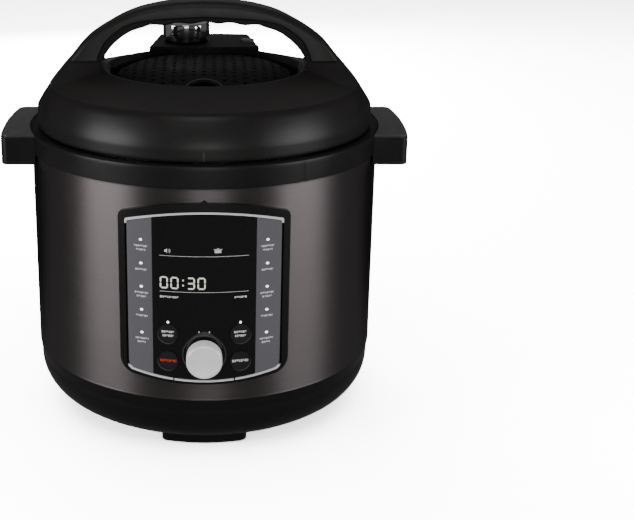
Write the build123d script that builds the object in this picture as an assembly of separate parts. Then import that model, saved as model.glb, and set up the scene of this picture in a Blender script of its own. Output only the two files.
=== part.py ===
from build123d import *
import math
import os

# Electric pressure cooker, millimetres. Z up, origin on the floor under the middle.
# The control panel faces -Y, the side handles point along X.

# --- body ---
SHELL_R = 155.0          # outside radius of the steel wrap
SHELL_WALL = 0.8
SHELL_BOTTOM = 57.4
SHELL_H = 183.4
SHELL_TOP = SHELL_BOTTOM + SHELL_H
BASE_BOTTOM = 11.0
BASE_CORNER = 31.0       # reach of the bowl's curve, in from the wrap
BASE_FLOOR_R = SHELL_R - BASE_CORNER
BASE_WALL = 3.0
BASE_SKIRT = 10.0        # near-upright stretch under the steel
BASE_TAPER = 1.5
BAND_H = 18.7
BAND_TOP = SHELL_TOP + BAND_H
BAND_PROUD = 1.5
FOOT_W = 74.0
FOOT_DEPTH = 22.0
FOOT_EDGE_R = BASE_FLOOR_R + 2.0
PAD_T = 2.0
FACE_GAP = 0.3           # between curved faces of neighbouring pieces
SEAT_GAP = 0.05          # between pieces that sit on each other

# --- pot, liner, heating ---
POT_R = 120.0
POT_WALL = 1.0
POT_FLOOR = 3.0
POT_BOTTOM = 79.0
POT_LIP = BAND_TOP - 10.5
POT_LIP_R = POT_R + 7.0
LINER_R = POT_R + 11.0
LINER_WALL = 1.0
PLATE_R = 88.0
PLATE_T = 11.0
SENSOR_R = 14.0
SENSOR_HOLE_R = 17.0
SENSOR_TRAVEL = 3.0
ELEMENT_R = 62.0
ELEMENT_WIRE_R = 4.0

# --- bayonet ---
LUG_COUNT = 6
LID_RIM_R = POT_LIP_R + 2.5
LUG_REACH = 5.0
LUG_T = 2.5
LUG_Z = POT_LIP + 1.2
LUG_ARC = 24.0
LUG_WINDOW = 29.0
LOCK_GAP = 0.4
LOCK_WALL = 1.5
UNLOCK_ANGLE = 30.0

# --- lid ---
SKIRT_R = SHELL_R - 6.0
SKIRT_BOTTOM = BAND_TOP + 2.5
SKIRT_H = 18.0
SKIRT_TOP = SKIRT_BOTTOM + SKIRT_H
SHOULDER_IN = 8.8
SHOULDER_H = 17.0
DOME_H = 12.5
RIDGE_R = SKIRT_R - SHOULDER_IN
RIDGE_Z = SKIRT_TOP + SHOULDER_H
CRATER_R = 88.5
CRATER_Z = RIDGE_Z + DOME_H
CRATER_DEPTH = 19.5
CRATER_FLOOR = CRATER_Z - CRATER_DEPTH
LID_WALL = 3.0
VENT_R = 77.0
VENT_EDGE_Z = CRATER_FLOOR + 13.0
VENT_T = 2.5
VENT_PITCH = 8.75
VENT_HOLE = 3.4
NOTCH_R = 15.5

# --- lid handle ---
ARCH_DEPTH = 34.0
ARCH_SEAM_Z = CRATER_Z + 6.5
ARCH_RISE = 52.5
ARCH_TOP = ARCH_SEAM_Z + ARCH_RISE
ARCH_PLATE = 5.0         # thickness of the grip half under the arch
GRIP_THICK = 19.0
GRIP_TOP = ARCH_TOP - GRIP_THICK

# --- steam valve housing ---
VALVE_X = -17.0
VALVE_Y = 71.0
KNOB_R = 22.0
KNOB_H = 17.0
KNOB_TRAVEL = 5.0
HOUSE_W = 103.0
HOUSE_FRONT = 42.0
HOUSE_BACK = 112.0
HOUSE_BULGE = 5.0
HOUSE_H = 29.0
HOUSE_TOP = CRATER_FLOOR + HOUSE_H
KNOB_Z = HOUSE_TOP + 2.0  # underside of its dark skirt
KNOB_TOP = KNOB_Z + KNOB_H
FLOAT_X = 41.0
FLOAT_Y = 67.6
FLOAT_R = 6.5
FLOAT_PROUD = 2.5        # head above its housing at rest

# --- side handles ---
HANDLE_REACH = 23.5
HANDLE_OUT = SHELL_R + BAND_PROUD + HANDLE_REACH
HANDLE_HALF = 55.0
HANDLE_DROP = 27.0
HANDLE_COVER_T = 3.0

# --- control panel ---
PANEL_HALF = 69.5
PANEL_TOP = 229.9
PANEL_CORNER_TOP = 219.0
PANEL_BOTTOM = 73.8
PANEL_CORNER_BOTTOM = 81.0
PANEL_PROUD = 3.5
PANEL_BORDER = 5.5
TRIM_W = 1.6
STRIP_INNER = 42.0
DIAL_Z = 100.0
DIAL_R = 14.6
DIAL_OUT = SHELL_R + 17.5
DIAL_TRAVEL = 1.5
KEY_R = 8.2
KEY_X = 29.5
KEY_UPPER_Z = 118.3
KEY_LOWER_Z = 94.3
KEY_TRAVEL = 0.6
LAMP_TOP_Z = 197.4
LAMP_PITCH = 20.1
LAMP_X = 51.0
LAMP_COUNT = 5

# --- back ---
CUP_OUT = SHELL_R + 17.5
CUP_W = 56.0
CUP_H = 46.0
CUP_TOP = SHELL_TOP - 4.8
CUP_WALL = 2.0
CUP_TRAVEL = 60.0


def ring(outer, inner, low, high):
    """Plain upright ring."""
    body = Pos(0, 0, low) * extrude(Circle(outer), high - low)
    if inner <= 0:
        return body
    return body - Pos(0, 0, low - 1) * extrude(Circle(inner), high - low + 2)


def disc(x, y, low, radius, height):
    return Pos(x, y, low) * extrude(Circle(radius), height)


def block(x0, x1, y0, y1, z0, z1):
    """Box between two corners."""
    return Pos((x0 + x1) / 2, (y0 + y1) / 2, (z0 + z1) / 2) * Box(x1 - x0, y1 - y0, z1 - z0)


def turned(points):
    """Solid of revolution about Z from (radius, height) corners."""
    face = make_face(Polyline(*[(r, 0, z) for r, z in points], close=True))
    return revolve(face, Axis.Z)


def wedge(outer, inner, low, high, middle, width):
    """Sector of a ring, with its middle direction and width in degrees."""
    half = math.radians(width / 2)
    reach = outer * 1.3
    cut = make_face(Polyline(
        (0, 0), (reach * math.cos(-half), reach * math.sin(-half)), (reach, 0),
        (reach * math.cos(half), reach * math.sin(half)), close=True))
    sector = Pos(0, 0, low) * extrude(cut, high - low)
    return (Rot(0, 0, middle) * sector) & ring(outer, inner, low, high)


def upright(face_xz, y0, y1):
    """Face drawn as (x, z), pushed out between two Y planes."""
    plane = Plane(origin=(0, y0, 0), x_dir=(1, 0, 0), z_dir=(0, -1, 0))
    return extrude(plane * face_xz, -(y1 - y0))


def polar(radius, degrees):
    angle = math.radians(degrees)
    return radius * math.cos(angle), radius * math.sin(angle)


def fuse(parts):
    whole = parts[0]
    for piece in parts[1:]:
        whole = whole + piece
    return whole


NODES = {}


def node(name, shape):
    NODES[name] = shape
    return shape


# ------------------------------------------------------------------ base housing
BAND_R = SHELL_R + BAND_PROUD
LOCK_IN = LID_RIM_R + LUG_REACH + 0.8
LOCK_OUT = LOCK_IN + LOCK_WALL
LOCK_TOP = LUG_Z + LUG_T + LOCK_GAP + LUG_T
BAND_IN = LOCK_OUT + FACE_GAP
HANDLE_LOW = BAND_TOP - HANDLE_DROP
INLET_W = 30.0
INLET_H = 24.0
INLET_Z = 35.0
INLET_BACK = SHELL_R - 3.0
INLET_FRONT = INLET_BACK - 30.0
VENT_SLOTS = 12
SCREW_RING_R = BASE_FLOOR_R - 12.0


def bowl_solid(shrink):
    """Solid of the bowl's outside, drawn in by a wall thickness."""
    top_r = SHELL_R - shrink
    mid_r = SHELL_R - BASE_TAPER - shrink
    mid_z = SHELL_BOTTOM - BASE_SKIRT
    floor_z = BASE_BOTTOM + shrink
    span_r = mid_r - BASE_FLOOR_R
    span_z = mid_z - floor_z
    diagonal = math.sqrt(0.5)
    belly = (BASE_FLOOR_R + span_r * diagonal, mid_z - span_z * diagonal)
    outline = [
        Line((0, floor_z), (BASE_FLOOR_R, floor_z)),
        ThreePointArc((BASE_FLOOR_R, floor_z), belly, (mid_r, mid_z)),
        Line((mid_r, mid_z), (top_r, SHELL_BOTTOM)),
        Line((top_r, SHELL_BOTTOM), (0, SHELL_BOTTOM)),
        Line((0, SHELL_BOTTOM), (0, floor_z)),
    ]
    return revolve(Plane.XZ * make_face(outline), Axis.Z)


def foot_plan():
    """One foot seen from above, at the front, with round ends."""
    outer = Circle(FOOT_EDGE_R) & (Pos(0, -FOOT_EDGE_R) * Rectangle(FOOT_W, FOOT_DEPTH * 2))
    foot = outer & (Pos(0, -FOOT_EDGE_R + FOOT_DEPTH / 2) * Rectangle(FOOT_W, FOOT_DEPTH))
    return foot


def make_base():
    bowl = bowl_solid(0) - bowl_solid(BASE_WALL)
    inlet = block(-INLET_W / 2 - SEAT_GAP, INLET_W / 2 + SEAT_GAP, INLET_FRONT, SHELL_R + 5,
                  INLET_Z - INLET_H / 2 - SEAT_GAP, INLET_Z + INLET_H / 2 + SEAT_GAP)
    bowl = bowl - inlet
    for i in range(VENT_SLOTS):
        slot = block(-2, 2, 62, 82, BASE_BOTTOM - 5, BASE_BOTTOM + BASE_WALL + 5)
        bowl = bowl - Rot(0, 0, 360 / VENT_SLOTS * i) * slot
    for angle in (45, 135, 225, 315):
        x, y = polar(SCREW_RING_R, angle)
        bowl = bowl - disc(x, y, BASE_BOTTOM - 5, 2.2, BASE_WALL + 10)
    floor_z = BASE_BOTTOM + BASE_WALL - 0.5
    for angle in (30, 150, 270):
        x, y = polar(PLATE_R - 12, angle)
        bowl = bowl + disc(x, y, floor_z, 5, POT_BOTTOM - PLATE_T - SEAT_GAP - floor_z)
    for x in (-50, 50):
        for y in (43, 93):
            bowl = bowl + disc(x, y, floor_z, 3.5, POWER_BOARD_Z - SEAT_GAP - floor_z)
    node("bottom_housing", bowl)

    foot = Pos(0, 0, PAD_T) * extrude(foot_plan(), BASE_BOTTOM - PAD_T - SEAT_GAP)
    foot = fillet(foot.edges().filter_by(Axis.Z), 8)
    pad = extrude(offset(foot_plan(), -4), PAD_T - SEAT_GAP)
    turns = (0, 90, 180, 270)
    node("feet", Compound([Rot(0, 0, a) * foot for a in turns]))
    node("foot_pads", Compound([Rot(0, 0, a) * pad for a in turns]))


def make_shell():
    wrap = ring(SHELL_R, SHELL_R - SHELL_WALL, SHELL_BOTTOM, SHELL_TOP)
    window = upright(panel_outline(PANEL_BORDER - 2), -SHELL_R - 5, -100)
    wrap = wrap - window
    for i in range(7):
        x = (i - 3) * 9.0
        wrap = wrap - block(x - 1.5, x + 1.5, 100, SHELL_R + 5, 80, 104)
    node("outer_shell", wrap)


def make_band():
    top = BAND_TOP
    outer = ring(BAND_R, BAND_R - 2.5, SHELL_TOP + SEAT_GAP, top)
    roof = ring(BAND_R, BAND_IN, top - 3, top)
    inner = ring(BAND_IN + 2.5, BAND_IN, POT_LIP - 3.5, top)
    band = outer + roof + inner
    rim = band.edges().filter_by(GeomType.CIRCLE).group_by(Axis.Z)[-1].sort_by(SortBy.LENGTH)[-1:]
    band = fillet(rim, 0.8)
    node("rim_band", band)


def handle_plan(shrink):
    """One side handle seen from above (+X side)."""
    x0 = BAND_R * 0.8
    corner_x = HANDLE_OUT - 4.0 - shrink
    half = HANDLE_HALF - shrink
    edge = [
        Line((x0, -half), (corner_x, -half)),
        ThreePointArc((corner_x, -half), (HANDLE_OUT - shrink, 0), (corner_x, half)),
        Line((corner_x, half), (x0, half)),
        Line((x0, half), (x0, -half)),
    ]
    face = make_face(edge)
    corners = face.vertices().sort_by(Axis.X)[-2:]
    return fillet(corners, 7)


def make_side_handles():
    keep_out = ring(BAND_R + SEAT_GAP, 0, HANDLE_LOW - 5, BAND_TOP + 5)
    deck = BAND_TOP - HANDLE_COVER_T
    body = Pos(0, 0, HANDLE_LOW) * extrude(handle_plan(0), deck - HANDLE_LOW - SEAT_GAP)
    body = body - keep_out
    pocket = Pos(0, 0, HANDLE_LOW - 1) * extrude(handle_plan(3.5), HANDLE_DROP - HANDLE_COVER_T - 6)
    body = body - (pocket - ring(BAND_R + 3.5, 0, HANDLE_LOW - 5, BAND_TOP + 5))
    cover = Pos(0, 0, deck) * extrude(handle_plan(1.2), HANDLE_COVER_T)
    cover = cover - keep_out
    top_edges = cover.edges().group_by(Axis.Z)[-1].sort_by(Axis.X)[-5:]
    cover = fillet(top_edges, 1.2)
    for name, turn in (("right", 0), ("left", 180)):
        node("side_handle_" + name, Rot(0, 0, turn) * body)
        node("handle_cover_" + name, Rot(0, 0, turn) * cover)


# ------------------------------------------------------------------ inside the base
LINER_FLOOR = POT_BOTTOM - PLATE_T - 3.0
LINER_TOP = POT_LIP - 3.0
BOARD_T = 1.6
POWER_BOARD_Z = BASE_BOTTOM + BASE_WALL + 5.0


def make_liner():
    wall = ring(LINER_R, LINER_R - LINER_WALL, LINER_FLOOR, LINER_TOP)
    floor = ring(LINER_R, PLATE_R + 4, LINER_FLOOR, LINER_FLOOR + LINER_WALL)
    flange = ring(LOCK_OUT - 0.3, LINER_R - LINER_WALL, LINER_TOP - LINER_WALL, LINER_TOP)
    node("liner", wall + floor + flange)

    wall = ring(LOCK_OUT, LOCK_IN, LINER_TOP + SEAT_GAP, LOCK_TOP)
    parts = [wall]
    for i in range(LUG_COUNT):
        parts.append(wedge(LOCK_IN + 0.5, LID_RIM_R + 0.6, LOCK_TOP - LUG_T, LOCK_TOP,
                           360 / LUG_COUNT * (i + 0.5), 360 / LUG_COUNT - LUG_WINDOW))
    node("locking_ring", fuse(parts))


def coil(radius, wire, low, high, turns):
    """Compression spring standing on Z."""
    height = high - low - 2 * wire
    path = Helix(pitch=height / turns, height=height, radius=radius)
    start = Plane(origin=path @ 0, z_dir=path % 0)
    body = sweep(start * Circle(wire), path=path)
    return Pos(0, 0, low + wire) * body


SENSOR_SEAT = POT_BOTTOM - 19.0
SENSOR_NECK = POT_BOTTOM - 7.0


def make_heater():
    top = POT_BOTTOM - SEAT_GAP
    low = POT_BOTTOM - PLATE_T
    plate = ring(PLATE_R, SENSOR_HOLE_R, low, top)
    rim = plate.edges().filter_by(GeomType.CIRCLE).group_by(Axis.Z)[-1].sort_by(SortBy.LENGTH)[-1:]
    plate = fillet(rim, 2)
    node("heating_plate", plate)

    loop = Rot(0, 0, 20) * revolve(
        Plane.XZ * (Pos(ELEMENT_R, low - ELEMENT_WIRE_R - SEAT_GAP) * Circle(ELEMENT_WIRE_R)), Axis.Z, 320)
    pins = []
    for angle in (20, 340):
        x, y = polar(ELEMENT_R, angle)
        pins.append(disc(x, y, low - 22, 3.0, 22 - ELEMENT_WIRE_R))
    node("heating_element", fuse([loop] + pins))

    cap = disc(0, 0, SENSOR_NECK, SENSOR_R, POT_BOTTOM - SEAT_GAP - SENSOR_NECK)
    cap = fillet(cap.edges().group_by(Axis.Z)[-1], 1)
    cap = cap + disc(0, 0, SENSOR_SEAT - 6, 3, SENSOR_NECK - SENSOR_SEAT + 6)
    node("sensor_cap", cap)
    holder = disc(0, 0, SENSOR_SEAT - 14, 12, 14) - disc(0, 0, SENSOR_SEAT - 10, 3 + SEAT_GAP, 12)
    node("sensor_holder", holder + block(-30, 30, -4, 4, SENSOR_SEAT - 14, SENSOR_SEAT - 11))
    node("sensor_spring", coil(8, 0.7, SENSOR_SEAT + SEAT_GAP, SENSOR_NECK - SEAT_GAP, 4))
    node("thermal_cutoff", block(-44, -28, 20, 30, low - 6.2, low - SEAT_GAP))


def make_electrics():
    z0 = POWER_BOARD_Z
    z1 = z0 + BOARD_T
    board = block(-55, 55, 38, 98, z0, z1)
    node("power_board", board)
    relay = block(-46, -26, 50, 66, z1 + SEAT_GAP, z1 + 17)
    core = block(6, 40, 48, 76, z1 + SEAT_GAP, z1 + 22)
    transformer = core + block(10, 36, 42, 82, z1 + 4, z1 + 20)
    terminals = block(-20, 20, 84, 96, z1 + SEAT_GAP, z1 + 12)
    node("board_parts", Compound([relay, transformer, terminals]))
    sw = block(70, 90, -8, 8, BASE_BOTTOM + BASE_WALL + SEAT_GAP, BASE_BOTTOM + 34)
    node("pressure_switch", sw + disc(80, 0, BASE_BOTTOM + 30, 4, 10))

    shell = block(-INLET_W / 2, INLET_W / 2, INLET_FRONT, INLET_BACK, INLET_Z - INLET_H / 2, INLET_Z + INLET_H / 2)
    shell = fillet(shell.edges().filter_by(Axis.Y), 4)
    shell = shell - block(-12, 12, INLET_BACK - 20, INLET_BACK + 1, INLET_Z - 8.5, INLET_Z + 8.5)
    pins = []
    for x, z in ((-7, -2), (0, 2), (7, -2)):
        pins.append(block(x - 1, x + 1, INLET_BACK - 20 + SEAT_GAP, INLET_BACK - 5,
                          INLET_Z + z - 2, INLET_Z + z + 2))
    node("power_inlet", Compound([shell] + pins))


# ------------------------------------------------------------------ control panel
FACE_R = SHELL_R + PANEL_PROUD          # outer face of the bezel
POCKET_R = SHELL_R + 1.0                # floor of the bezel's pocket
BACK_R = SHELL_R - 5.0                  # back of the bezel, inside the body
WINDOW_R = FACE_R - 0.5
STRIP_R = FACE_R - 0.3
BOARD_Y = -(SHELL_R - 17.0)
PLUNGER_R = 4.2
SHAFT_R = 3.0
WELL_R = DIAL_R + 2.0


def arc_top_outline(half, top, corner_top, bottom, corner_bottom, r_top, r_bottom):
    """Upright panel shape in (x, z): bowed top and bottom, straight sides, round corners."""
    sides = [
        ThreePointArc((-half, corner_top), (0, top), (half, corner_top)),
        Line((half, corner_top), (half, corner_bottom)),
        ThreePointArc((half, corner_bottom), (0, bottom), (-half, corner_bottom)),
        Line((-half, corner_bottom), (-half, corner_top)),
    ]
    face = make_face(sides)
    face = fillet(face.vertices().sort_by(Axis.Y)[:2], r_bottom)
    return fillet(face.vertices().sort_by(Axis.Y)[-2:], r_top)


def panel_outline(inset):
    return arc_top_outline(PANEL_HALF - inset, PANEL_TOP - inset, PANEL_CORNER_TOP - inset,
                           PANEL_BOTTOM + inset, PANEL_CORNER_BOTTOM + inset,
                           max(6 - inset, 1.5), max(14 - inset, 3))


def field_outline(inset):
    """The recessed field that holds the trim, the strips and the window."""
    edge = PANEL_BORDER + inset
    low = PANEL_BOTTOM + 2.2 + inset
    return arc_top_outline(PANEL_HALF - edge, PANEL_TOP - 7.0 - inset, PANEL_CORNER_TOP - 5.0 - inset,
                           low, low + 7.4, 2.0, 7.0)


def curved(face_xz, inner, outer):
    """Slab that follows the body's curve, with the given front outline."""
    slab = upright(face_xz, -outer - 10, -inner * 0.75)
    return slab & ring(outer, inner, BASE_BOTTOM, SHELL_TOP)


def pegs(places, radius, front, back):
    """Holes or pins along Y at (x, z) places."""
    return [upright(Pos(x, z) * Circle(radius), front, back) for x, z in places]


KEY_PLACES = {
    "delay_button": (-KEY_X, KEY_UPPER_Z),
    "warm_button": (KEY_X, KEY_UPPER_Z),
    "cancel_button": (-KEY_X, KEY_LOWER_Z),
    "start_button": (KEY_X, KEY_LOWER_Z),
}
LAMPS = [(side * LAMP_X, LAMP_TOP_Z - LAMP_PITCH * i) for side in (-1, 1) for i in range(LAMP_COUNT)]
KEY_LAMPS = [(side * KEY_X, KEY_UPPER_Z + KEY_R + 1.6) for side in (-1, 1)]


def make_panel():
    through = -SHELL_R - 20, BOARD_Y + 2
    bezel = curved(panel_outline(0), SHELL_R + FACE_GAP, FACE_R)
    peak = make_face(Polyline((-4, PANEL_TOP - 1), (0, PANEL_TOP + 2.2), (4, PANEL_TOP - 1), close=True))
    bezel = bezel + curved(peak, SHELL_R + FACE_GAP, FACE_R)
    bezel = bezel + curved(panel_outline(PANEL_BORDER - 1.7), BACK_R, POCKET_R + 1)
    bezel = bezel - curved(field_outline(0), POCKET_R, FACE_R + 5)
    display_hole = make_face(Polyline((-38, 132), (38, 132), (38, 212), (-38, 212), close=True))
    bezel = bezel - upright(display_hole, *through)
    cuts = pegs(KEY_PLACES.values(), KEY_R + 0.4, *through)
    cuts += pegs([(0, DIAL_Z)], PLUNGER_R + 0.4, *through)
    cuts += pegs(LAMPS + KEY_LAMPS, 1.0, *through)
    for cut in cuts:
        bezel = bezel - cut
    for x in (-45, 45):
        wall_y = -math.sqrt(BACK_R ** 2 - x * x)
        for pillar in pegs([(x, 88), (x, 216)], 2.5, wall_y - 1, BOARD_Y - SEAT_GAP):
            bezel = bezel + pillar
    node("control_bezel", bezel)

    frame = curved(field_outline(SEAT_GAP), POCKET_R + SEAT_GAP, FACE_R + 0.4)
    frame = frame - curved(field_outline(TRIM_W), POCKET_R - 5, FACE_R + 5)
    side_low = PANEL_CORNER_BOTTOM + 5
    frame = frame - block(-SHELL_R, SHELL_R, -SHELL_R - 20, 0, side_low, PANEL_CORNER_TOP - 9)
    for x in (-25, 25):
        frame = frame - block(x - 0.6, x + 0.6, -SHELL_R - 20, 0, 60, side_low)
    node("chrome_trim", frame)

    inner = TRIM_W + SEAT_GAP
    low, high = 60, 240
    side_cut = STRIP_INNER
    middle = make_face(Polyline((-side_cut, low), (side_cut, low), (side_cut, high), (-side_cut, high), close=True))
    window = curved(field_outline(inner) & middle, POCKET_R + SEAT_GAP, WINDOW_R)
    for cut in pegs(KEY_PLACES.values(), KEY_R + 0.3, *through) + pegs([(0, DIAL_Z)], PLUNGER_R + 0.3, *through):
        window = window - cut
    for cut in pegs(KEY_LAMPS, 1.0, *through):
        window = window - cut
    well = upright(Pos(0, DIAL_Z) * Circle(WELL_R), -SHELL_R - 20, -WINDOW_R + 1.0)
    node("display_window", window - well)

    reach = PANEL_HALF + 5
    for name, side in (("left", -1), ("right", 1)):
        near, far = sorted((side * (side_cut + SEAT_GAP), side * reach))
        half = make_face(Polyline((near, low), (far, low), (far, high), (near, high), close=True))
        strip = curved(field_outline(inner) & half, POCKET_R + SEAT_GAP, STRIP_R)
        for cut in pegs([p for p in LAMPS if p[0] * side > 0], 1.0, *through):
            strip = strip - cut
        node("key_strip_" + name, strip)

    pins = []
    for x, z in LAMPS + KEY_LAMPS:
        face_y = -math.sqrt(STRIP_R ** 2 - x * x)
        pins += pegs([(x, z)], 0.95, face_y - 0.25, BOARD_Y - 2.0)
    node("light_pipes", Compound(pins))

    board = block(-56, 56, BOARD_Y, BOARD_Y + BOARD_T, 84, 220)
    board = board - upright(Pos(0, DIAL_Z) * Circle(2), BOARD_Y - 5, BOARD_Y + 10)
    for x, z in LAMPS + KEY_LAMPS:
        board = board + block(x - 1, x + 1, BOARD_Y - 1.2, BOARD_Y + 0.1, z - 1.2, z + 1.2)
    node("control_board", board)
    node("display_module", block(-37, 37, BOARD_Y - 7, BOARD_Y - SEAT_GAP, 133, 211))
    node("buzzer", upright(Pos(45, 110) * Circle(6), BOARD_Y + BOARD_T + SEAT_GAP, BOARD_Y + 9))
    switches = [block(x - 3, x + 3, BOARD_Y - 3.2, BOARD_Y - SEAT_GAP, z - 3, z + 3)
                for x, z in KEY_PLACES.values()]
    node("tact_switches", Compound(switches))


def make_keys():
    for name, (x, z) in KEY_PLACES.items():
        cap = curved(Pos(x, z) * Circle(KEY_R), BACK_R + 1.5, FACE_R + 0.4)
        cap = cap - curved(Pos(x, z) * Circle(KEY_R - 1.2), FACE_R, FACE_R + 5)
        stem_front = -math.sqrt((BACK_R + 2.5) ** 2 - x * x)
        stem = upright(Pos(x, z) * Circle(2.4), stem_front, BOARD_Y - 3.2 - KEY_TRAVEL - 0.2)
        node(name, cap + stem)


def make_dial():
    face = -DIAL_OUT
    rear = -WINDOW_R - DIAL_TRAVEL - 0.4
    knob = upright(Pos(0, DIAL_Z) * Circle(DIAL_R), face, rear)
    front_edge = knob.edges().filter_by(GeomType.CIRCLE).sort_by(Axis.Y)[0]
    knob = fillet([front_edge], 1.0)
    knob = knob - upright(Pos(0, DIAL_Z) * Circle(SHAFT_R + SEAT_GAP), face + 6, rear + 1)
    node("control_knob", knob)
    node("dial_shaft", upright(Pos(0, DIAL_Z) * Circle(SHAFT_R), face + 6.1, BOARD_Y - 5.0))

    sleeve = upright(Pos(0, DIAL_Z) * Circle(PLUNGER_R), rear + 2.2, BOARD_Y - 4.4)
    sleeve = sleeve - upright(Pos(0, DIAL_Z) * Circle(SHAFT_R + 0.05), rear - 5, BOARD_Y)
    node("encoder_plunger", sleeve)
    case = block(-7, 7, BOARD_Y - 9, BOARD_Y - SEAT_GAP, DIAL_Z - 7, DIAL_Z + 7)
    case = case - upright(Pos(0, DIAL_Z) * Circle(PLUNGER_R + 0.06), BOARD_Y - 20, BOARD_Y - 2.6)
    node("encoder_case", case)


# ------------------------------------------------------------------ pot and lid
VENT_FLAT_R = 36.0
VENT_BEND_R = 90.0
LID_FLANGE_Z = SKIRT_BOTTOM + 1.5
RIM_WALL = 1.2
RIM_TOP = LID_FLANGE_Z + 4.0
INNER_TOP = CRATER_FLOOR - LID_WALL - 12.0
SEAL_IN = LID_RIM_R - 15.5
SEAL_OUT = LID_RIM_R - RIM_WALL - 0.6
SEAL_TOP = POT_LIP + 11.0


def make_pot():
    low = POT_BOTTOM
    corner = 14.0
    outer = ring(POT_R, 0, low, POT_LIP)
    outer = fillet(outer.edges().group_by(Axis.Z)[0], corner)
    inner = ring(POT_R - POT_WALL, 0, low + POT_FLOOR, POT_LIP + 1)
    inner = fillet(inner.edges().group_by(Axis.Z)[0], corner - POT_WALL - 1)
    lip = ring(POT_LIP_R, POT_R - POT_WALL, POT_LIP - 1.2, POT_LIP)
    node("inner_pot", (outer - inner) + lip)


def arch_outer():
    """Outline of the arch from above the lid down its sides, as (x, z)."""
    drops = [(118.3, 1.8), (89.4, 8.1), (67.7, 18.2), (45.7, 32.8),
             (28.5, 52.5), (17.2, 65.8), (5.0, 82.5), (-0.5, 98.5)]
    right = [(SKIRT_R - inward, ARCH_TOP - drop) for inward, drop in drops]
    left = [(-x, z) for x, z in reversed(right)]
    crown = Spline(*left, (0, ARCH_TOP), *right)
    base_z = SKIRT_BOTTOM - 10
    last = right[-1]
    rest = Polyline(last, (last[0], base_z), (-last[0], base_z), (-last[0], last[1]))
    return make_face([crown, rest])


def arch_inner(grow):
    """Finger space under the arch, as (x, z)."""
    drops = [(59.0, 49.5), (60.5, 31.5), (73.9, 14.7), (96.3, 3.9)]
    half = [(SKIRT_R - inward, GRIP_TOP - drop) for inward, drop in drops]
    wide = 1 + grow / half[0][0]
    tall = 1 + grow / (GRIP_TOP - half[0][1])
    right = [(x * wide, half[0][1] + (z - half[0][1]) * tall) for x, z in half]
    left = [(-x, z) for x, z in right]
    curve = Spline(*left, (0, GRIP_TOP + grow), *reversed(right))
    return make_face([curve, Line(right[0], left[0])])


def lid_profile(shrink):
    """Revolved body of the lid from the skirt to the crater's edge."""
    t = shrink
    low = SKIRT_BOTTOM - (5 if t else 0)
    body = turned([(0, low), (SKIRT_R - t, low), (SKIRT_R - t, SKIRT_TOP - t * 0.3),
                   (RIDGE_R - t, RIDGE_Z - t), (CRATER_R + t, CRATER_Z - t), (0, CRATER_Z - t)])
    return Rot(0, 0, 90) * body


def make_lid():
    shell = lid_profile(0)
    edges = shell.edges().filter_by(GeomType.CIRCLE).group_by(Axis.Z)
    shell = fillet(edges[2], 3.0)
    trim = upright(arch_outer(), -SKIRT_R - 5, SKIRT_R + 5)
    boss_top = Plane.XY.offset(ARCH_SEAM_Z) * (Pos(SKIRT_R - 42, 0) * Rectangle(34, ARCH_DEPTH))
    boss_low = Plane.XY.offset(RIDGE_Z - 4) * (Pos(SKIRT_R - 37, 0) * Rectangle(58, ARCH_DEPTH + 22))
    boss = loft([boss_low, boss_top])
    shell = (shell + boss + Rot(0, 0, 180) * boss) & trim
    shell = shell - lid_profile(LID_WALL)
    crater_low = CRATER_FLOOR
    shell = shell + (ring(CRATER_R, CRATER_R - LID_WALL - 2, crater_low, CRATER_Z - LID_WALL))
    floor = ring(CRATER_R, 0, crater_low - LID_WALL, crater_low)
    shell = shell + floor
    shell = shell - ring(CRATER_R - LID_WALL - 2, 0, crater_low, CRATER_Z + 20)
    flange = ring(SKIRT_R - 1.0, LID_RIM_R + 0.5, LID_FLANGE_Z, LID_FLANGE_Z + 2.5)
    shell = shell + flange
    holes = [disc(VALVE_X, VALVE_Y, crater_low - 10, 6.0, 20),
             disc(FLOAT_X, FLOAT_Y, crater_low - 10, FLOAT_R + 0.7, 60)]
    holes.append(disc(LOCK_X, LOCK_Y, crater_low - 10, 3.6, 20))
    for x in (-1, 1):
        for y in (-8, 8):
            holes.append(disc(x * HANDLE_SCREW_X, y, ARCH_SEAM_Z - 30, 2.0, 40))
    for hole in holes:
        shell = shell - hole
    node("lid_cover", shell)


HANDLE_SCREW_X = SKIRT_R - 45.0
LOCK_X = 62.0
LOCK_Y = 40.0


def make_handle():
    above = block(-SKIRT_R, SKIRT_R, -ARCH_DEPTH / 2, ARCH_DEPTH / 2, ARCH_SEAM_Z + SEAT_GAP, ARCH_TOP + 5)
    body = upright(arch_outer(), -ARCH_DEPTH / 2, ARCH_DEPTH / 2) & above
    body = body - upright(arch_inner(ARCH_PLATE + SEAT_GAP), -ARCH_DEPTH, ARCH_DEPTH)
    crown = body.edges().filter_by(lambda e: e.length > 200).sort_by(Axis.Z)[-2:]
    body = fillet(crown, 6.0)
    for x in (-1, 1):
        for y in (-8, 8):
            body = body - disc(x * HANDLE_SCREW_X, y, ARCH_SEAM_Z - 1, 1.6, 12)
    node("lid_handle", body)
    grip = upright(arch_inner(ARCH_PLATE), -ARCH_DEPTH / 2 + 1, ARCH_DEPTH / 2 - 1) & above
    node("handle_grip", grip - upright(arch_inner(0), -ARCH_DEPTH, ARCH_DEPTH))
    screws = []
    for x in (-1, 1):
        for y in (-8, 8):
            shank = disc(x * HANDLE_SCREW_X, y, ARCH_SEAM_Z - 12, 1.5, 22)
            screws.append(shank)
    node("handle_screws", Compound(screws))


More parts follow.
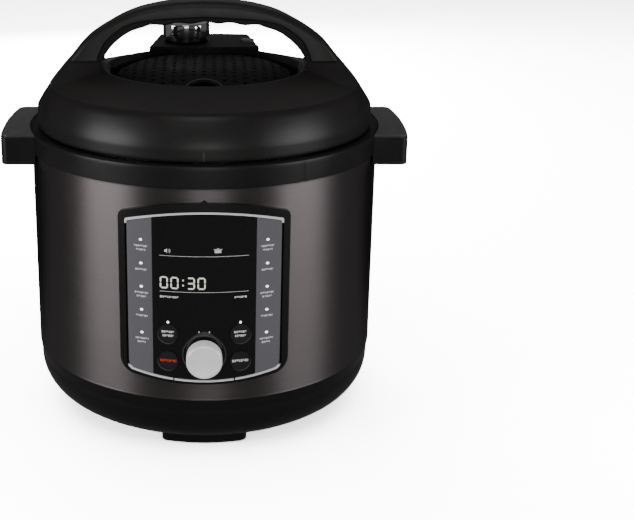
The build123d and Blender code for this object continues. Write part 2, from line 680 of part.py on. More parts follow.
def make_inner_lid():
    low, wall = LUG_Z, RIM_WALL
    outer = turned([(0, low), (LID_RIM_R, low), (LID_RIM_R, RIM_TOP), (LID_RIM_R - 12, RIM_TOP + 5),
                    (60, INNER_TOP), (0, INNER_TOP)])
    inner = turned([(0, low - 1), (LID_RIM_R - wall, low - 1), (LID_RIM_R - wall, RIM_TOP - 0.6),
                    (LID_RIM_R - 12 - wall * 0.4, RIM_TOP + 5 - wall), (60, INNER_TOP - wall), (0, INNER_TOP - wall)])
    plate = outer - inner
    for i in range(LUG_COUNT):
        plate = plate + wedge(LID_RIM_R + LUG_REACH, LID_RIM_R - 0.6, LUG_Z, LUG_Z + LUG_T,
                              360 / LUG_COUNT * (i + 0.5), LUG_ARC)
    for x, y, r in ((VALVE_X, VALVE_Y, 5.2), (FLOAT_X, FLOAT_Y, 5.2)):
        plate = plate - disc(x, y, LUG_Z, r, 60)
    node("inner_lid", plate)

    seal = turned([(SEAL_IN, POT_LIP + SEAT_GAP), (SEAL_OUT, POT_LIP + SEAT_GAP), (SEAL_OUT, SEAL_TOP),
                   (SEAL_OUT - 4, SEAL_TOP), (SEAL_OUT - 4, SEAL_TOP - 5), (SEAL_IN + 4, SEAL_TOP - 5),
                   (SEAL_IN + 4, SEAL_TOP), (SEAL_IN, SEAL_TOP)])
    node("sealing_ring", seal)
    rack = ring(SEAL_IN - FACE_GAP, SEAL_IN - FACE_GAP - 2, POT_LIP + 4, POT_LIP + 8)
    for i in range(LUG_COUNT):
        x, y = polar(SEAL_IN - FACE_GAP - 1, 360 / LUG_COUNT * i)
        rack = rack + disc(x, y, POT_LIP + 6, 1.0, lid_underside(SEAL_IN - FACE_GAP) - 0.15 - POT_LIP - 6)
    node("ring_rack", rack)


def lid_underside(r):
    """Height of the pressed lid's underside at a radius on its sloping part."""
    high_r, low_r = 60.0, LID_RIM_R - 12 - RIM_WALL * 0.4
    z_low, z_high = RIM_TOP + 5 - RIM_WALL, INNER_TOP - RIM_WALL
    return z_low + (z_high - z_low) * (low_r - r) / (low_r - high_r)


def vent_solid(drop):
    """Cap of the perforated cover: a flat middle that bends down to its rim."""
    rim_drop = VENT_BEND_R - math.sqrt(VENT_BEND_R ** 2 - (VENT_R - VENT_FLAT_R) ** 2)
    top = VENT_EDGE_Z + rim_drop - drop
    mid_r = (VENT_R + VENT_FLAT_R) / 2
    mid = top - VENT_BEND_R + math.sqrt(VENT_BEND_R ** 2 - (mid_r - VENT_FLAT_R) ** 2)
    low = VENT_EDGE_Z - drop
    base = VENT_EDGE_Z - VENT_T - drop
    outline = [
        Line((0, base), (0, top)),
        Line((0, top), (VENT_FLAT_R, top)),
        ThreePointArc((VENT_FLAT_R, top), (mid_r, mid), (VENT_R, low)),
        Line((VENT_R, low), (VENT_R, base)),
        Line((VENT_R, base), (0, base)),
    ]
    return revolve(Plane.XZ * make_face(outline), Axis.Z)


def make_vent():
    cover = vent_solid(0) - (vent_solid(VENT_T) & ring(VENT_R - 2, 0, VENT_EDGE_Z - 50, VENT_EDGE_Z + 50))
    back = HOUSE_FRONT - HOUSE_BULGE - 1.0
    cut = block(-VENT_R - 5, VENT_R + 5, back, VENT_R + 5, CRATER_FLOOR, VENT_EDGE_Z + 30)
    cover = cover - cut
    cover = cover - disc(0, -VENT_R, CRATER_FLOOR, NOTCH_R, 50)
    count = int(VENT_R / VENT_PITCH)
    holes = []
    for i in range(-count, count + 1):
        for j in range(-count, count + 1):
            x, y = i * VENT_PITCH, j * VENT_PITCH
            clear = math.hypot(x, y) < VENT_R - 6 and y < back - 4
            clear = clear and math.hypot(x, y + VENT_R) > NOTCH_R + 4
            if clear:
                holes.append(block(x - VENT_HOLE / 2, x + VENT_HOLE / 2, y - VENT_HOLE / 2, y + VENT_HOLE / 2,
                                   CRATER_FLOOR, VENT_EDGE_Z + 30))
    node("vent_cover", cover - Compound(holes))


def house_plan(shrink):
    half = HOUSE_W / 2 - shrink
    front, back = HOUSE_FRONT + shrink, HOUSE_BACK - shrink
    face = make_face([
        ThreePointArc((-half, front), (0, front - HOUSE_BULGE), (half, front)),
        Line((half, front), (half - 8, back)),
        ThreePointArc((half - 8, back), (0, back + 4), (-half + 8, back)),
        Line((-half + 8, back), (-half, front)),
    ])
    return fillet(face.vertices(), 4)


def make_steam_housing():
    low = CRATER_FLOOR + SEAT_GAP
    house = Pos(0, 0, low) * extrude(house_plan(0), HOUSE_TOP - low)
    house = fillet(house.edges().group_by(Axis.Z)[-1], 2.0)
    house = house - Pos(0, 0, low - 1) * extrude(house_plan(2.5), HOUSE_TOP - low - 1.5)
    outside = ring(200, CRATER_R - LID_WALL - 2.05, low - 5, CRATER_Z + 0.15)
    house = house - (outside & block(-200, 200, 0, 200, low - 6, CRATER_Z + 0.15))
    house = house - lid_profile(0)
    house = house + (Pos(0, 0, low) * extrude(house_plan(0) - house_plan(2.5), HOUSE_TOP - low - 6)
                     & ring(CRATER_R - LID_WALL - 2.4, 0, low, HOUSE_TOP))
    house = house + disc(VALVE_X, VALVE_Y, HOUSE_TOP - 7, KNOB_R + 1, 6.5)
    house = house - disc(VALVE_X, VALVE_Y, HOUSE_TOP - KNOB_TRAVEL + 1, KNOB_R - 1.5, 10)
    house = house - disc(VALVE_X, VALVE_Y, low, 9.5, 50)
    guide_top = KNOB_TOP - 3.5 - KNOB_TRAVEL
    house = house + Pos(VALVE_X, VALVE_Y, 0) * ring(10.0, 8.8, HOUSE_TOP - 7, guide_top)
    house = house - disc(FLOAT_X, FLOAT_Y, low, FLOAT_R + 0.6, 50)
    node("steam_housing", house)

    pipe_low = LUG_Z + 12
    pipe_top = HOUSE_TOP - 5.0
    pipe = disc(VALVE_X, VALVE_Y, pipe_low, 5.0, pipe_top - pipe_low)
    node("valve_pipe", pipe - disc(VALVE_X, VALVE_Y, pipe_low - 1, 2.2, 80))
    shield = disc(VALVE_X, VALVE_Y, pipe_low - 3, 10, 12) - disc(VALVE_X, VALVE_Y, pipe_low - 4, 8.6, 11)
    for i in range(8):
        slot = block(7, 12, -1.2, 1.2, pipe_low - 1.5, pipe_low + 6)
        shield = shield - Pos(VALVE_X, VALVE_Y, 0) * (Rot(0, 0, 45 * i) * slot)
    node("anti_block_shield", shield - disc(VALVE_X, VALVE_Y, pipe_low - 5, 5.06, 20))

    rim_z = HOUSE_TOP + KNOB_TRAVEL + 0.5
    knob = disc(VALVE_X, VALVE_Y, rim_z, KNOB_R, KNOB_TOP - rim_z)
    knob = knob + disc(VALVE_X, VALVE_Y, KNOB_Z, KNOB_R - 3, rim_z - KNOB_Z + 1)
    top = knob.edges().filter_by(GeomType.CIRCLE).group_by(Axis.Z)[-1]
    knob = fillet(top, 1.5)
    hollow = disc(VALVE_X, VALVE_Y, KNOB_Z - 1, 10.8, KNOB_TOP - KNOB_Z - 2)
    node("release_knob", knob - hollow)
    weight = disc(VALVE_X, VALVE_Y, pipe_top + 0.1, 6.5, 5.0)
    node("valve_weight", weight + disc(VALVE_X, VALVE_Y, pipe_top - 6, 0.8, 8))
    spring = coil(7.8, 0.5, pipe_top - 12, KNOB_TOP - 3.2, 6)
    node("knob_spring", Pos(VALVE_X, VALVE_Y, 0) * spring)

    pin_low = LUG_Z + 8
    top_z = HOUSE_TOP + FLOAT_PROUD
    stem = disc(FLOAT_X, FLOAT_Y, pin_low, 4.8, top_z - 8 - pin_low)
    head = disc(FLOAT_X, FLOAT_Y, top_z - 8.5, FLOAT_R, 8.5)
    head = fillet(head.edges().group_by(Axis.Z)[-1], 1)
    node("float_valve", stem + head)
    seal_top = lid_underside(math.hypot(FLOAT_X, FLOAT_Y) + 7.2) - 0.2
    node("float_seal", Pos(FLOAT_X, FLOAT_Y, 0) * ring(7.2, 4.85, seal_top - 2.5, seal_top))
    pin = disc(LOCK_X, LOCK_Y, CRATER_FLOOR - LID_WALL - 8, 3.5, 14)
    node("lock_pin", pin)


def make_cup():
    half = CUP_W / 2
    low = CUP_TOP - CUP_H
    face_y = SHELL_R + 3.5
    shape = block(-half, half, face_y, CUP_OUT, low, CUP_TOP)
    shape = fillet(shape.edges().filter_by(Axis.Z).sort_by(Axis.Y)[-2:], 8)
    shape = fillet(shape.edges().group_by(Axis.Z)[0], 3)
    hollow = block(-half + CUP_WALL, half - CUP_WALL, face_y + CUP_WALL, CUP_OUT - CUP_WALL,
                   low + CUP_WALL, CUP_TOP + 1)
    hollow = fillet(hollow.edges().filter_by(Axis.Z).sort_by(Axis.Y)[-2:], 6)
    node("condensation_cup", shape - hollow)
    side = half + 0.4
    back = block(-side - 3, side + 3, SHELL_R - 15, face_y + 5, low - 4, CUP_TOP + 3)
    back = back - ring(SHELL_R + FACE_GAP, 0, low - 10, CUP_TOP + 10)
    back = back - block(-side, side, face_y - 0.4, SHELL_R + 60, low - 0.4, CUP_TOP + 10)
    node("cup_bracket", back)


def make_screws():
    places = [polar(SCREW_RING_R, a) for a in (45, 135, 225, 315)]
    screws = [disc(x, y, BASE_BOTTOM - 1.8, 4, 1.7) + disc(x, y, BASE_BOTTOM - 1, 2, 9) for x, y in places]
    node("base_screws", Compound(screws))


make_base()
make_shell()
make_band()
make_side_handles()
make_liner()
make_heater()
make_electrics()
make_panel()
make_keys()
make_dial()
make_pot()
make_lid()
make_handle()
make_inner_lid()
make_vent()
make_steam_housing()
make_cup()
make_screws()

os.makedirs("parts", exist_ok=True)
for name, shape in NODES.items():
    export_step(shape, "parts/" + name + ".step")
    print(name)
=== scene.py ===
import math

import bmesh
import bpy
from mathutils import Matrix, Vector


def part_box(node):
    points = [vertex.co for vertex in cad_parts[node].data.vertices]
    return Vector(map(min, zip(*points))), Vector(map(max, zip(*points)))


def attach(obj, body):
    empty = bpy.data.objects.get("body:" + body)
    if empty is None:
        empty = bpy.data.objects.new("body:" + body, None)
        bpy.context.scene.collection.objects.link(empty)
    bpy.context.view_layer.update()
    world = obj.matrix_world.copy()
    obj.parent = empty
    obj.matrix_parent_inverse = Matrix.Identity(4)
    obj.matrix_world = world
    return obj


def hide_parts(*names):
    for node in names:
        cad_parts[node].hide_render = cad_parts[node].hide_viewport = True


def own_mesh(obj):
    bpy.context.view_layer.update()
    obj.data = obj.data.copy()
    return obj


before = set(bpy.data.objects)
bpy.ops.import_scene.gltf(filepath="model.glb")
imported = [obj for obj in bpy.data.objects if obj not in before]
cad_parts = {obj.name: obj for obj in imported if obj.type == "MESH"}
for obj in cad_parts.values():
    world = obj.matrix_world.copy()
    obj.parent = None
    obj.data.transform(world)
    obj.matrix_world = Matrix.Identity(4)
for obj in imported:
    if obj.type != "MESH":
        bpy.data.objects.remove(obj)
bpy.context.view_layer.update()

bl_info = {
    "name": "Pressure cooker looks",
    "version": (1, 0, 0),
    "blender": (4, 5, 0),
    "location": "3D View > Sidebar > Cooker",
    "description": "Builds the outer pieces, finishes and studio of an electric pressure cooker",
    "category": "Object",
}

MM = 0.001

# Boxes of the pieces that the looks are built around, in metres.
SHELL_LOW, SHELL_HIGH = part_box("outer_shell")
BAND_LOW, BAND_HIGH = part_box("rim_band")
LID_LOW, LID_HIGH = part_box("lid_cover")
ARCH_LOW, ARCH_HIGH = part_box("lid_handle")
VENT_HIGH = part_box("vent_cover")[1]
KNOB_LOW, KNOB_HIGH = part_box("release_knob")
BEZEL_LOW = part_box("control_bezel")[0]
WINDOW_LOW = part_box("display_window")[0]
DIAL_LOW, DIAL_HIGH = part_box("control_knob")
KEY_NAMES = ("delay_button", "warm_button", "cancel_button", "start_button")
KEY_BOX = {name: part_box(name) for name in KEY_NAMES}

SHELL_R = SHELL_HIGH.x
BAND_R = BAND_HIGH.x
WINDOW_R = -WINDOW_LOW.y


# ------------------------------------------------------------------ settings
class CookerSizes(bpy.types.PropertyGroup):
    """Sizes that a user would change."""
    edge: bpy.props.FloatProperty(
        name="Edge softness", description="Bevel on small moulded edges", default=0.0006,
        min=0.0, unit="LENGTH")
    ridge_radius: bpy.props.FloatProperty(
        name="Lid ridge radius", description="Rounding of the ridge round the lid", default=0.0045,
        min=0.0005, unit="LENGTH")
    boss_blend: bpy.props.FloatProperty(
        name="Boss blend", description="How softly the handle bosses run into the lid", default=0.011,
        min=0.001, unit="LENGTH")
    segments: bpy.props.IntProperty(
        name="Round segments", description="Steps round a full turn", default=192, min=48, max=512)
    camera_distance: bpy.props.FloatProperty(
        name="Camera distance", description="From the middle of the cooker, along the floor",
        default=1.0347, min=0.3, unit="LENGTH")
    camera_height: bpy.props.FloatProperty(
        name="Camera height", description="Above the floor", default=0.5109, min=0.05, unit="LENGTH")
    camera_tilt: bpy.props.FloatProperty(
        name="Camera tilt", description="Below the horizon", default=math.radians(16.61), subtype="ANGLE")


def colour_setting(name, description, default):
    return bpy.props.FloatVectorProperty(
        name=name, description=description, subtype="COLOR", size=3, default=default, min=0.0, max=1.0)


class CookerColours(bpy.types.PropertyGroup):
    """Base colours of the finishes."""
    lid: colour_setting(
        "Lid plastic", "Warm black of the lid", (0.0075, 0.0068, 0.0066))
    housing: colour_setting(
        "Housing plastic", "Black of the bowl, band and handles", (0.0052, 0.0050, 0.0052))
    steel: colour_setting(
        "Dark steel", "Tinted steel of the drum", (0.128, 0.114, 0.116))
    strip: colour_setting(
        "Key strip", "Grey film of the touch strips", (0.100, 0.097, 0.108))
    lamp: colour_setting(
        "Lamp", "Light of the lamps and digits", (0.95, 0.95, 0.90))
    cancel: colour_setting(
        "Cancel mark", "Mark on the cancel key", (0.55, 0.02, 0.015))


def sizes():
    return bpy.context.scene.cooker_sizes


def colours():
    return bpy.context.scene.cooker_colours


# ------------------------------------------------------------------ node groups
def start_group(name, inputs, outputs):
    """Empty shader group with its sockets, and its input and output nodes."""
    tree = bpy.data.node_groups.new(name, "ShaderNodeTree")
    for label, kind, default in inputs:
        socket = tree.interface.new_socket(name=label, in_out="INPUT", socket_type=kind)
        socket.default_value = default
    for label, kind in outputs:
        tree.interface.new_socket(name=label, in_out="OUTPUT", socket_type=kind)
    return tree, tree.nodes.new("NodeGroupInput"), tree.nodes.new("NodeGroupOutput")


def add(tree, kind, **values):
    """Node with its properties and unlinked inputs set."""
    node = tree.nodes.new(kind)
    for key, value in values.items():
        if key in node.inputs:
            node.inputs[key].default_value = value
        else:
            setattr(node, key, value)
    return node


def ramp(tree, low, high, to_low, to_high):
    """Map Range node between two spans."""
    node = tree.nodes.new("ShaderNodeMapRange")
    for key, value in (("From Min", low), ("From Max", high), ("To Min", to_low), ("To Max", to_high)):
        node.inputs[key].default_value = value
    return node


def moulded_grain():
    """Fine spark-eroded grain of moulded plastic, with a broad mottle."""
    if "moulded_grain" in bpy.data.node_groups:
        return bpy.data.node_groups["moulded_grain"]
    tree, inside, outside = start_group(
        "moulded_grain",
        [("Grain Scale", "NodeSocketFloat", 1400.0), ("Mottle Scale", "NodeSocketFloat", 18.0)],
        [("Height", "NodeSocketFloat"), ("Mottle", "NodeSocketFloat")])
    link = tree.links.new
    place = add(tree, "ShaderNodeTexCoord")
    cells = add(tree, "ShaderNodeTexVoronoi", feature="SMOOTH_F1", Smoothness=0.6)
    fine = add(tree, "ShaderNodeTexNoise", Detail=3.0, Roughness=0.6)
    broad = add(tree, "ShaderNodeTexNoise", Detail=4.0, Roughness=0.55)
    mix = add(tree, "ShaderNodeMath", operation="MULTIPLY_ADD")
    mix.inputs[1].default_value = 0.5
    link(place.outputs["Object"], cells.inputs["Vector"])
    link(place.outputs["Object"], fine.inputs["Vector"])
    link(place.outputs["Object"], broad.inputs["Vector"])
    link(inside.outputs["Grain Scale"], cells.inputs["Scale"])
    link(inside.outputs["Grain Scale"], fine.inputs["Scale"])
    link(inside.outputs["Mottle Scale"], broad.inputs["Scale"])
    link(cells.outputs["Distance"], mix.inputs[0])
    link(fine.outputs["Fac"], mix.inputs[2])
    link(mix.outputs[0], outside.inputs["Height"])
    link(broad.outputs["Fac"], outside.inputs["Mottle"])
    return tree


def brush_lines():
    """Long fine scratches: the noise is stretched by a scale for each axis."""
    if "brush_lines" in bpy.data.node_groups:
        return bpy.data.node_groups["brush_lines"]
    tree, inside, outside = start_group(
        "brush_lines",
        [("Stretch", "NodeSocketVector", (3.0, 3.0, 2600.0)),
         ("Broad", "NodeSocketVector", (2.0, 2.0, 160.0))],
        [("Height", "NodeSocketFloat"), ("Shade", "NodeSocketFloat")])
    link = tree.links.new
    place = add(tree, "ShaderNodeTexCoord")
    outs = []
    for socket, detail in (("Stretch", 5.0), ("Broad", 3.0)):
        scale = add(tree, "ShaderNodeVectorMath", operation="MULTIPLY")
        lines = add(tree, "ShaderNodeTexNoise", Scale=1.0, Detail=detail, Roughness=0.62)
        link(place.outputs["Object"], scale.inputs[0])
        link(inside.outputs[socket], scale.inputs[1])
        link(scale.outputs[0], lines.inputs["Vector"])
        outs.append(lines)
    blend = add(tree, "ShaderNodeMath", operation="MULTIPLY_ADD")
    blend.inputs[1].default_value = 0.45
    link(outs[1].outputs["Fac"], blend.inputs[0])
    link(outs[0].outputs["Fac"], blend.inputs[2])
    link(outs[0].outputs["Fac"], outside.inputs["Height"])
    link(blend.outputs[0], outside.inputs["Shade"])
    return tree


def handling_marks():
    """Faint smears and rubbed spots from hands and cloths."""
    if "handling_marks" in bpy.data.node_groups:
        return bpy.data.node_groups["handling_marks"]
    tree, inside, outside = start_group(
        "handling_marks", [("Scale", "NodeSocketFloat", 30.0)], [("Mask", "NodeSocketFloat")])
    link = tree.links.new
    place = add(tree, "ShaderNodeTexCoord")
    broad = add(tree, "ShaderNodeTexNoise", Detail=5.0, Roughness=0.7, Distortion=1.2)
    cut = ramp(tree, 0.42, 0.72, 0.0, 1.0)
    link(place.outputs["Object"], broad.inputs["Vector"])
    link(inside.outputs["Scale"], broad.inputs["Scale"])
    link(broad.outputs["Fac"], cut.inputs["Value"])
    link(cut.outputs["Result"], outside.inputs["Mask"])
    return tree


def place_group(tree, group, **values):
    node = tree.nodes.new("ShaderNodeGroup")
    node.node_tree = group
    for key, value in values.items():
        node.inputs[key.replace("_", " ")].default_value = value
    return node


# ------------------------------------------------------------------ finishes
def blank(name):
    """New material with its tree and Principled BSDF."""
    material = bpy.data.materials.new(name)
    material.use_nodes = True
    return material, material.node_tree, material.node_tree.nodes["Principled BSDF"]


def tint(tree, mask, colour, gain):
    """Colour that moves between itself and a lighter one by a mask."""
    mix = tree.nodes.new("ShaderNodeMix")
    mix.data_type = "RGBA"
    mix.inputs["A"].default_value = (*colour, 1.0)
    mix.inputs["B"].default_value = (*[min(c * gain, 1.0) for c in colour], 1.0)
    tree.links.new(mask, mix.inputs["Factor"])
    return mix.outputs["Result"]


def plastic(name, colour, rough, grain=1400.0, depth=0.00002, coat=0.0, gain=1.35, smear=0.05, gleam=0.3):
    """Moulded plastic: grain in the bump, mottle in colour and roughness."""
    material, tree, bsdf = blank(name)
    grain_node = place_group(tree, moulded_grain(), Grain_Scale=grain, Mottle_Scale=16.0)
    marks = place_group(tree, handling_marks(), Scale=24.0)
    tree.links.new(tint(tree, grain_node.outputs["Mottle"], colour, gain), bsdf.inputs["Base Color"])
    total = add(tree, "ShaderNodeMath", operation="MULTIPLY_ADD")
    total.inputs[1].default_value = smear
    spread = ramp(tree, 0.3, 0.7, rough - 0.03, rough + 0.03)
    tree.links.new(grain_node.outputs["Mottle"], spread.inputs["Value"])
    tree.links.new(marks.outputs["Mask"], total.inputs[0])
    tree.links.new(spread.outputs["Result"], total.inputs[2])
    tree.links.new(total.outputs[0], bsdf.inputs["Roughness"])
    bump = add(tree, "ShaderNodeBump", Strength=0.6, Distance=depth)
    tree.links.new(grain_node.outputs["Height"], bump.inputs["Height"])
    tree.links.new(bump.outputs["Normal"], bsdf.inputs["Normal"])
    bsdf.inputs["Specular IOR Level"].default_value = gleam
    bsdf.inputs["Coat Weight"].default_value = coat
    bsdf.inputs["Coat Roughness"].default_value = 0.08
    return material


def brushed(name, colour, rough, stretch, broad, depth=0.00001, turn=0.0, axis="Z", grained=0.0, metal=1.0):
    """Brushed metal with streaks in shade, roughness and bump."""
    material, tree, bsdf = blank(name)
    lines = place_group(tree, brush_lines(), Stretch=stretch, Broad=broad)
    marks = place_group(tree, handling_marks(), Scale=11.0)
    span = ramp(tree, 0.35, 1.05, 0.0, 1.0)
    tree.links.new(lines.outputs["Shade"], span.inputs["Value"])
    tree.links.new(tint(tree, span.outputs["Result"], colour, 1.28), bsdf.inputs["Base Color"])
    spread = ramp(tree, 0.3, 0.7, rough - 0.05, rough + 0.06)
    total = add(tree, "ShaderNodeMath", operation="MULTIPLY_ADD")
    total.inputs[1].default_value = 0.04
    tree.links.new(lines.outputs["Height"], spread.inputs["Value"])
    tree.links.new(marks.outputs["Mask"], total.inputs[0])
    tree.links.new(spread.outputs["Result"], total.inputs[2])
    tree.links.new(total.outputs[0], bsdf.inputs["Roughness"])
    bump = add(tree, "ShaderNodeBump", Strength=0.5, Distance=depth)
    tree.links.new(lines.outputs["Height"], bump.inputs["Height"])
    tree.links.new(bump.outputs["Normal"], bsdf.inputs["Normal"])
    bsdf.inputs["Metallic"].default_value = metal
    if grained:
        bsdf.inputs["Anisotropic"].default_value = grained
        bsdf.inputs["Anisotropic Rotation"].default_value = turn
        tangent = add(tree, "ShaderNodeTangent", direction_type="RADIAL", axis=axis)
        tree.links.new(tangent.outputs["Tangent"], bsdf.inputs["Tangent"])
    return material


def glowing(name, colour, strength):
    """Lit lamp or digit with a faintly uneven light."""
    material, tree, bsdf = blank(name)
    marks = place_group(tree, handling_marks(), Scale=220.0)
    glow = tint(tree, marks.outputs["Mask"], [c * 0.9 for c in colour], 1.1)
    tree.links.new(glow, bsdf.inputs["Emission Color"])
    bsdf.inputs["Base Color"].default_value = (*colour, 1.0)
    bsdf.inputs["Emission Strength"].default_value = strength
    bsdf.inputs["Roughness"].default_value = 0.4
    return material


ROUND_STRETCH = (1.6, 1.6, 4200.0)
ROUND_BROAD = (1.2, 1.2, 620.0)
PLASTICS = {
    "lid_plastic": dict(colour="lid", rough=0.34, grain=1500.0, depth=0.000012),
    "housing_plastic": dict(colour="housing", rough=0.30, grain=1500.0, depth=0.00001),
    "handle_plastic": dict(colour="lid", rough=0.36, grain=1300.0, depth=0.000014),
    "matt_grip": dict(colour=(0.0042, 0.0042, 0.0042), rough=0.55, grain=900.0, depth=0.00003, gleam=0.16),
    "cover_plastic": dict(colour=(0.030, 0.030, 0.030), rough=0.42, grain=1200.0, depth=0.00002),
    "gloss_black": dict(
        colour=(0.004, 0.004, 0.0045), rough=0.07, grain=300.0, depth=0.0000005, coat=0.6, smear=0.06),
    "key_gloss": dict(colour=(0.013, 0.013, 0.014), rough=0.14, grain=300.0, depth=0.0000005, coat=0.4),
    "strip_film": dict(colour="strip", rough=0.42, grain=1900.0, depth=0.000006, gain=1.12),
    "inner_plastic": dict(colour=(0.03, 0.03, 0.03), rough=0.45, grain=1100.0, depth=0.00002),
    "board_green": dict(colour=(0.012, 0.075, 0.03), rough=0.28, grain=500.0, depth=0.00001, coat=0.3),
    "rubber": dict(colour=(0.018, 0.018, 0.018), rough=0.75, grain=700.0, depth=0.00004),
    "silicone": dict(colour=(0.52, 0.52, 0.50), rough=0.38, grain=300.0, depth=0.00001, gain=1.06),
    "smoke": dict(colour=(0.012, 0.012, 0.013), rough=0.12, grain=300.0, depth=0.000001, coat=0.5),
    # Grey of the dial's ring; also the colour of the painted highlight round each key.
    "ring_grey": dict(colour=(0.045, 0.045, 0.047), rough=0.3, grain=800.0, depth=0.000001, gain=1.1),
    "mark_white": dict(colour=(0.62, 0.62, 0.62), rough=0.4, grain=800.0, depth=0.000001, gain=1.05),
    "mark_red": dict(colour="cancel", rough=0.4, grain=800.0, depth=0.000001, gain=1.1),
}
METALS = {
    "dark_steel": dict(
        colour="steel", rough=0.40, stretch=ROUND_STRETCH, broad=ROUND_BROAD, depth=0.000008, turn=0.25,
        grained=0.8),
    "steel": dict(
        colour=(0.52, 0.52, 0.53), rough=0.24, stretch=ROUND_STRETCH, broad=ROUND_BROAD, depth=0.000006,
        grained=0.5),
    "cast_aluminium": dict(
        colour=(0.55, 0.55, 0.56), rough=0.36, stretch=(900.0, 900.0, 5.0), broad=(60.0, 60.0, 2.0)),
    "sheath": dict(
        colour=(0.24, 0.21, 0.19), rough=0.45, stretch=(400.0, 400.0, 400.0), broad=(40.0, 40.0, 40.0)),
    "spring_wire": dict(
        colour=(0.45, 0.45, 0.46), rough=0.22, stretch=(300.0, 300.0, 900.0), broad=(30.0, 30.0, 60.0)),
    "chrome": dict(
        colour=(0.62, 0.62, 0.63), rough=0.07, stretch=(60.0, 60.0, 60.0), broad=(12.0, 12.0, 12.0),
        depth=0.0000004),
    # Dial: near-white colour with little metal, so the face is bright under any light; painted reflection
    # over real radial brushing.
    "dial_metal": dict(
        colour=(0.97, 0.97, 0.97), rough=0.40, stretch=(700.0, 4.0, 700.0), broad=(40.0, 2.0, 40.0),
        depth=0.0000015, axis="Y", grained=0.6, turn=0.25, metal=0.3),
    # Chrome trim as a near-white, half-diffuse finish: painted reflection in place of the chrome's mirror
    # look.
    "bright_trim": dict(
        colour=(0.86, 0.86, 0.87), rough=0.22, stretch=(90.0, 90.0, 90.0), broad=(14.0, 14.0, 14.0),
        depth=0.0000004, metal=0.4),
    "screw_steel": dict(
        colour=(0.35, 0.35, 0.36), rough=0.3, stretch=(500.0, 500.0, 500.0), broad=(50.0, 50.0, 50.0)),
}
GLOWS = {
    "lamp_light": dict(colour="lamp", strength=2.2),
    "digit_light": dict(colour=(0.62, 0.64, 0.56), strength=0.55),
}
FINISHES = {}


def finish(name):
    """The named finish, made the first time it is asked for; a colour may be the name of a setting."""
    if name not in FINISHES:
        for make, table in ((plastic, PLASTICS), (brushed, METALS), (glowing, GLOWS)):
            if name in table:
                values = dict(table[name])
                if isinstance(values["colour"], str):
                    values["colour"] = tuple(getattr(colours(), values["colour"]))
                FINISHES[name] = make(name, **values)
    return FINISHES[name]


# ------------------------------------------------------------------ mesh helpers
def make_object(name, points, faces, finishes, sharp=35.0):
    """Mesh object from points in millimetres, shaded smooth below the sharp angle."""
    mesh = bpy.data.meshes.new(name)
    mesh.from_pydata([Vector(p) * MM for p in points], [], faces)
    mesh.validate()
    body = bmesh.new()
    body.from_mesh(mesh)
    bmesh.ops.remove_doubles(body, verts=body.verts, dist=0.000002)
    bmesh.ops.recalc_face_normals(body, faces=body.faces)
    limit = math.radians(sharp)
    for face in body.faces:
        face.smooth = True
    for edge in body.edges:
        edge.smooth = len(edge.link_faces) == 2 and edge.calc_face_angle(0.0) < limit
    body.to_mesh(mesh)
    body.free()
    obj = bpy.data.objects.new(name, mesh)
    bpy.context.scene.collection.objects.link(obj)
    for item in [finishes] if isinstance(finishes, str) else finishes:
        mesh.materials.append(finish(item))
    return obj


def rows_to_faces(rows, around):
    """Points and quads between rows of equal length; around joins the ends of each row."""
    points = [p for row in rows for p in row]
    wide = len(rows[0])
    faces = []
    for i in range(len(rows) - 1):
        for j in range(wide if around else wide - 1):
            k = (j + 1) % wide
            faces.append((i * wide + j, i * wide + k, (i + 1) * wide + k, (i + 1) * wide + j))
    return points, faces


def capped(rows):
    """Points and faces of a swept piece, closed at both ends."""
    points, faces = rows_to_faces(rows, True)
    wide = len(rows[0])
    faces.append(tuple(range(wide)))
    faces.append(tuple(range(len(points) - 1, len(points) - wide - 1, -1)))
    return points, faces


def lathe(name, profile, finishes, centre=(0.0, 0.0), axis="Z", steps=None, sharp=35.0, shape=None):
    """Turned piece from (radius, along) points; shape may move a point by its angle."""
    steps = steps or sizes().segments
    rows = []
    for radius, along in profile:
        row = []
        for j in range(steps):
            angle = 2 * math.pi * j / steps
            r = shape(radius, along, angle) if shape else radius
            u, v = r * math.cos(angle), r * math.sin(angle)
            if axis == "Z":
                row.append((centre[0] + u, centre[1] + v, along))
            else:
                row.append((centre[0] + u, along, centre[1] + v))
        rows.append(row)
    points, faces = rows_to_faces(rows, True)
    return make_object(name, points, faces, finishes, sharp)


def arc_points(cx, cz, radius, start, end, steps=6):
    """Points of an arc in a profile, angles in degrees."""
    spread = [math.radians(start + (end - start) * i / steps) for i in range(steps + 1)]
    return [(cx + radius * math.cos(a), cz + radius * math.sin(a)) for a in spread]


def curve_through(points, steps=10):
    """Smooth chain of points through the given ones."""
    ends = [points[0]] + list(points) + [points[-1]]
    chain = []
    for a, b, c, d in zip(ends, ends[1:], ends[2:], ends[3:]):
        for i in range(steps):
            t = i / steps
            chain.append(tuple(
                0.5 * (2 * q + (r - p) * t + (2 * p - 5 * q + 4 * r - s) * t * t
                       + (3 * q - p - 3 * r + s) * t ** 3)
                for p, q, r, s in zip(a, b, c, d)))
    return chain + [tuple(points[-1])]


def height_on(chain, x):
    """Height of a falling chain of (x, z) points at x."""
    for (x0, z0), (x1, z1) in zip(chain, chain[1:]):
        if x0 <= x <= x1:
            return z0 + (z1 - z0) * (x - x0) / max(x1 - x0, 0.000001)
    return chain[-1][1] if x > chain[-1][0] else chain[0][1]


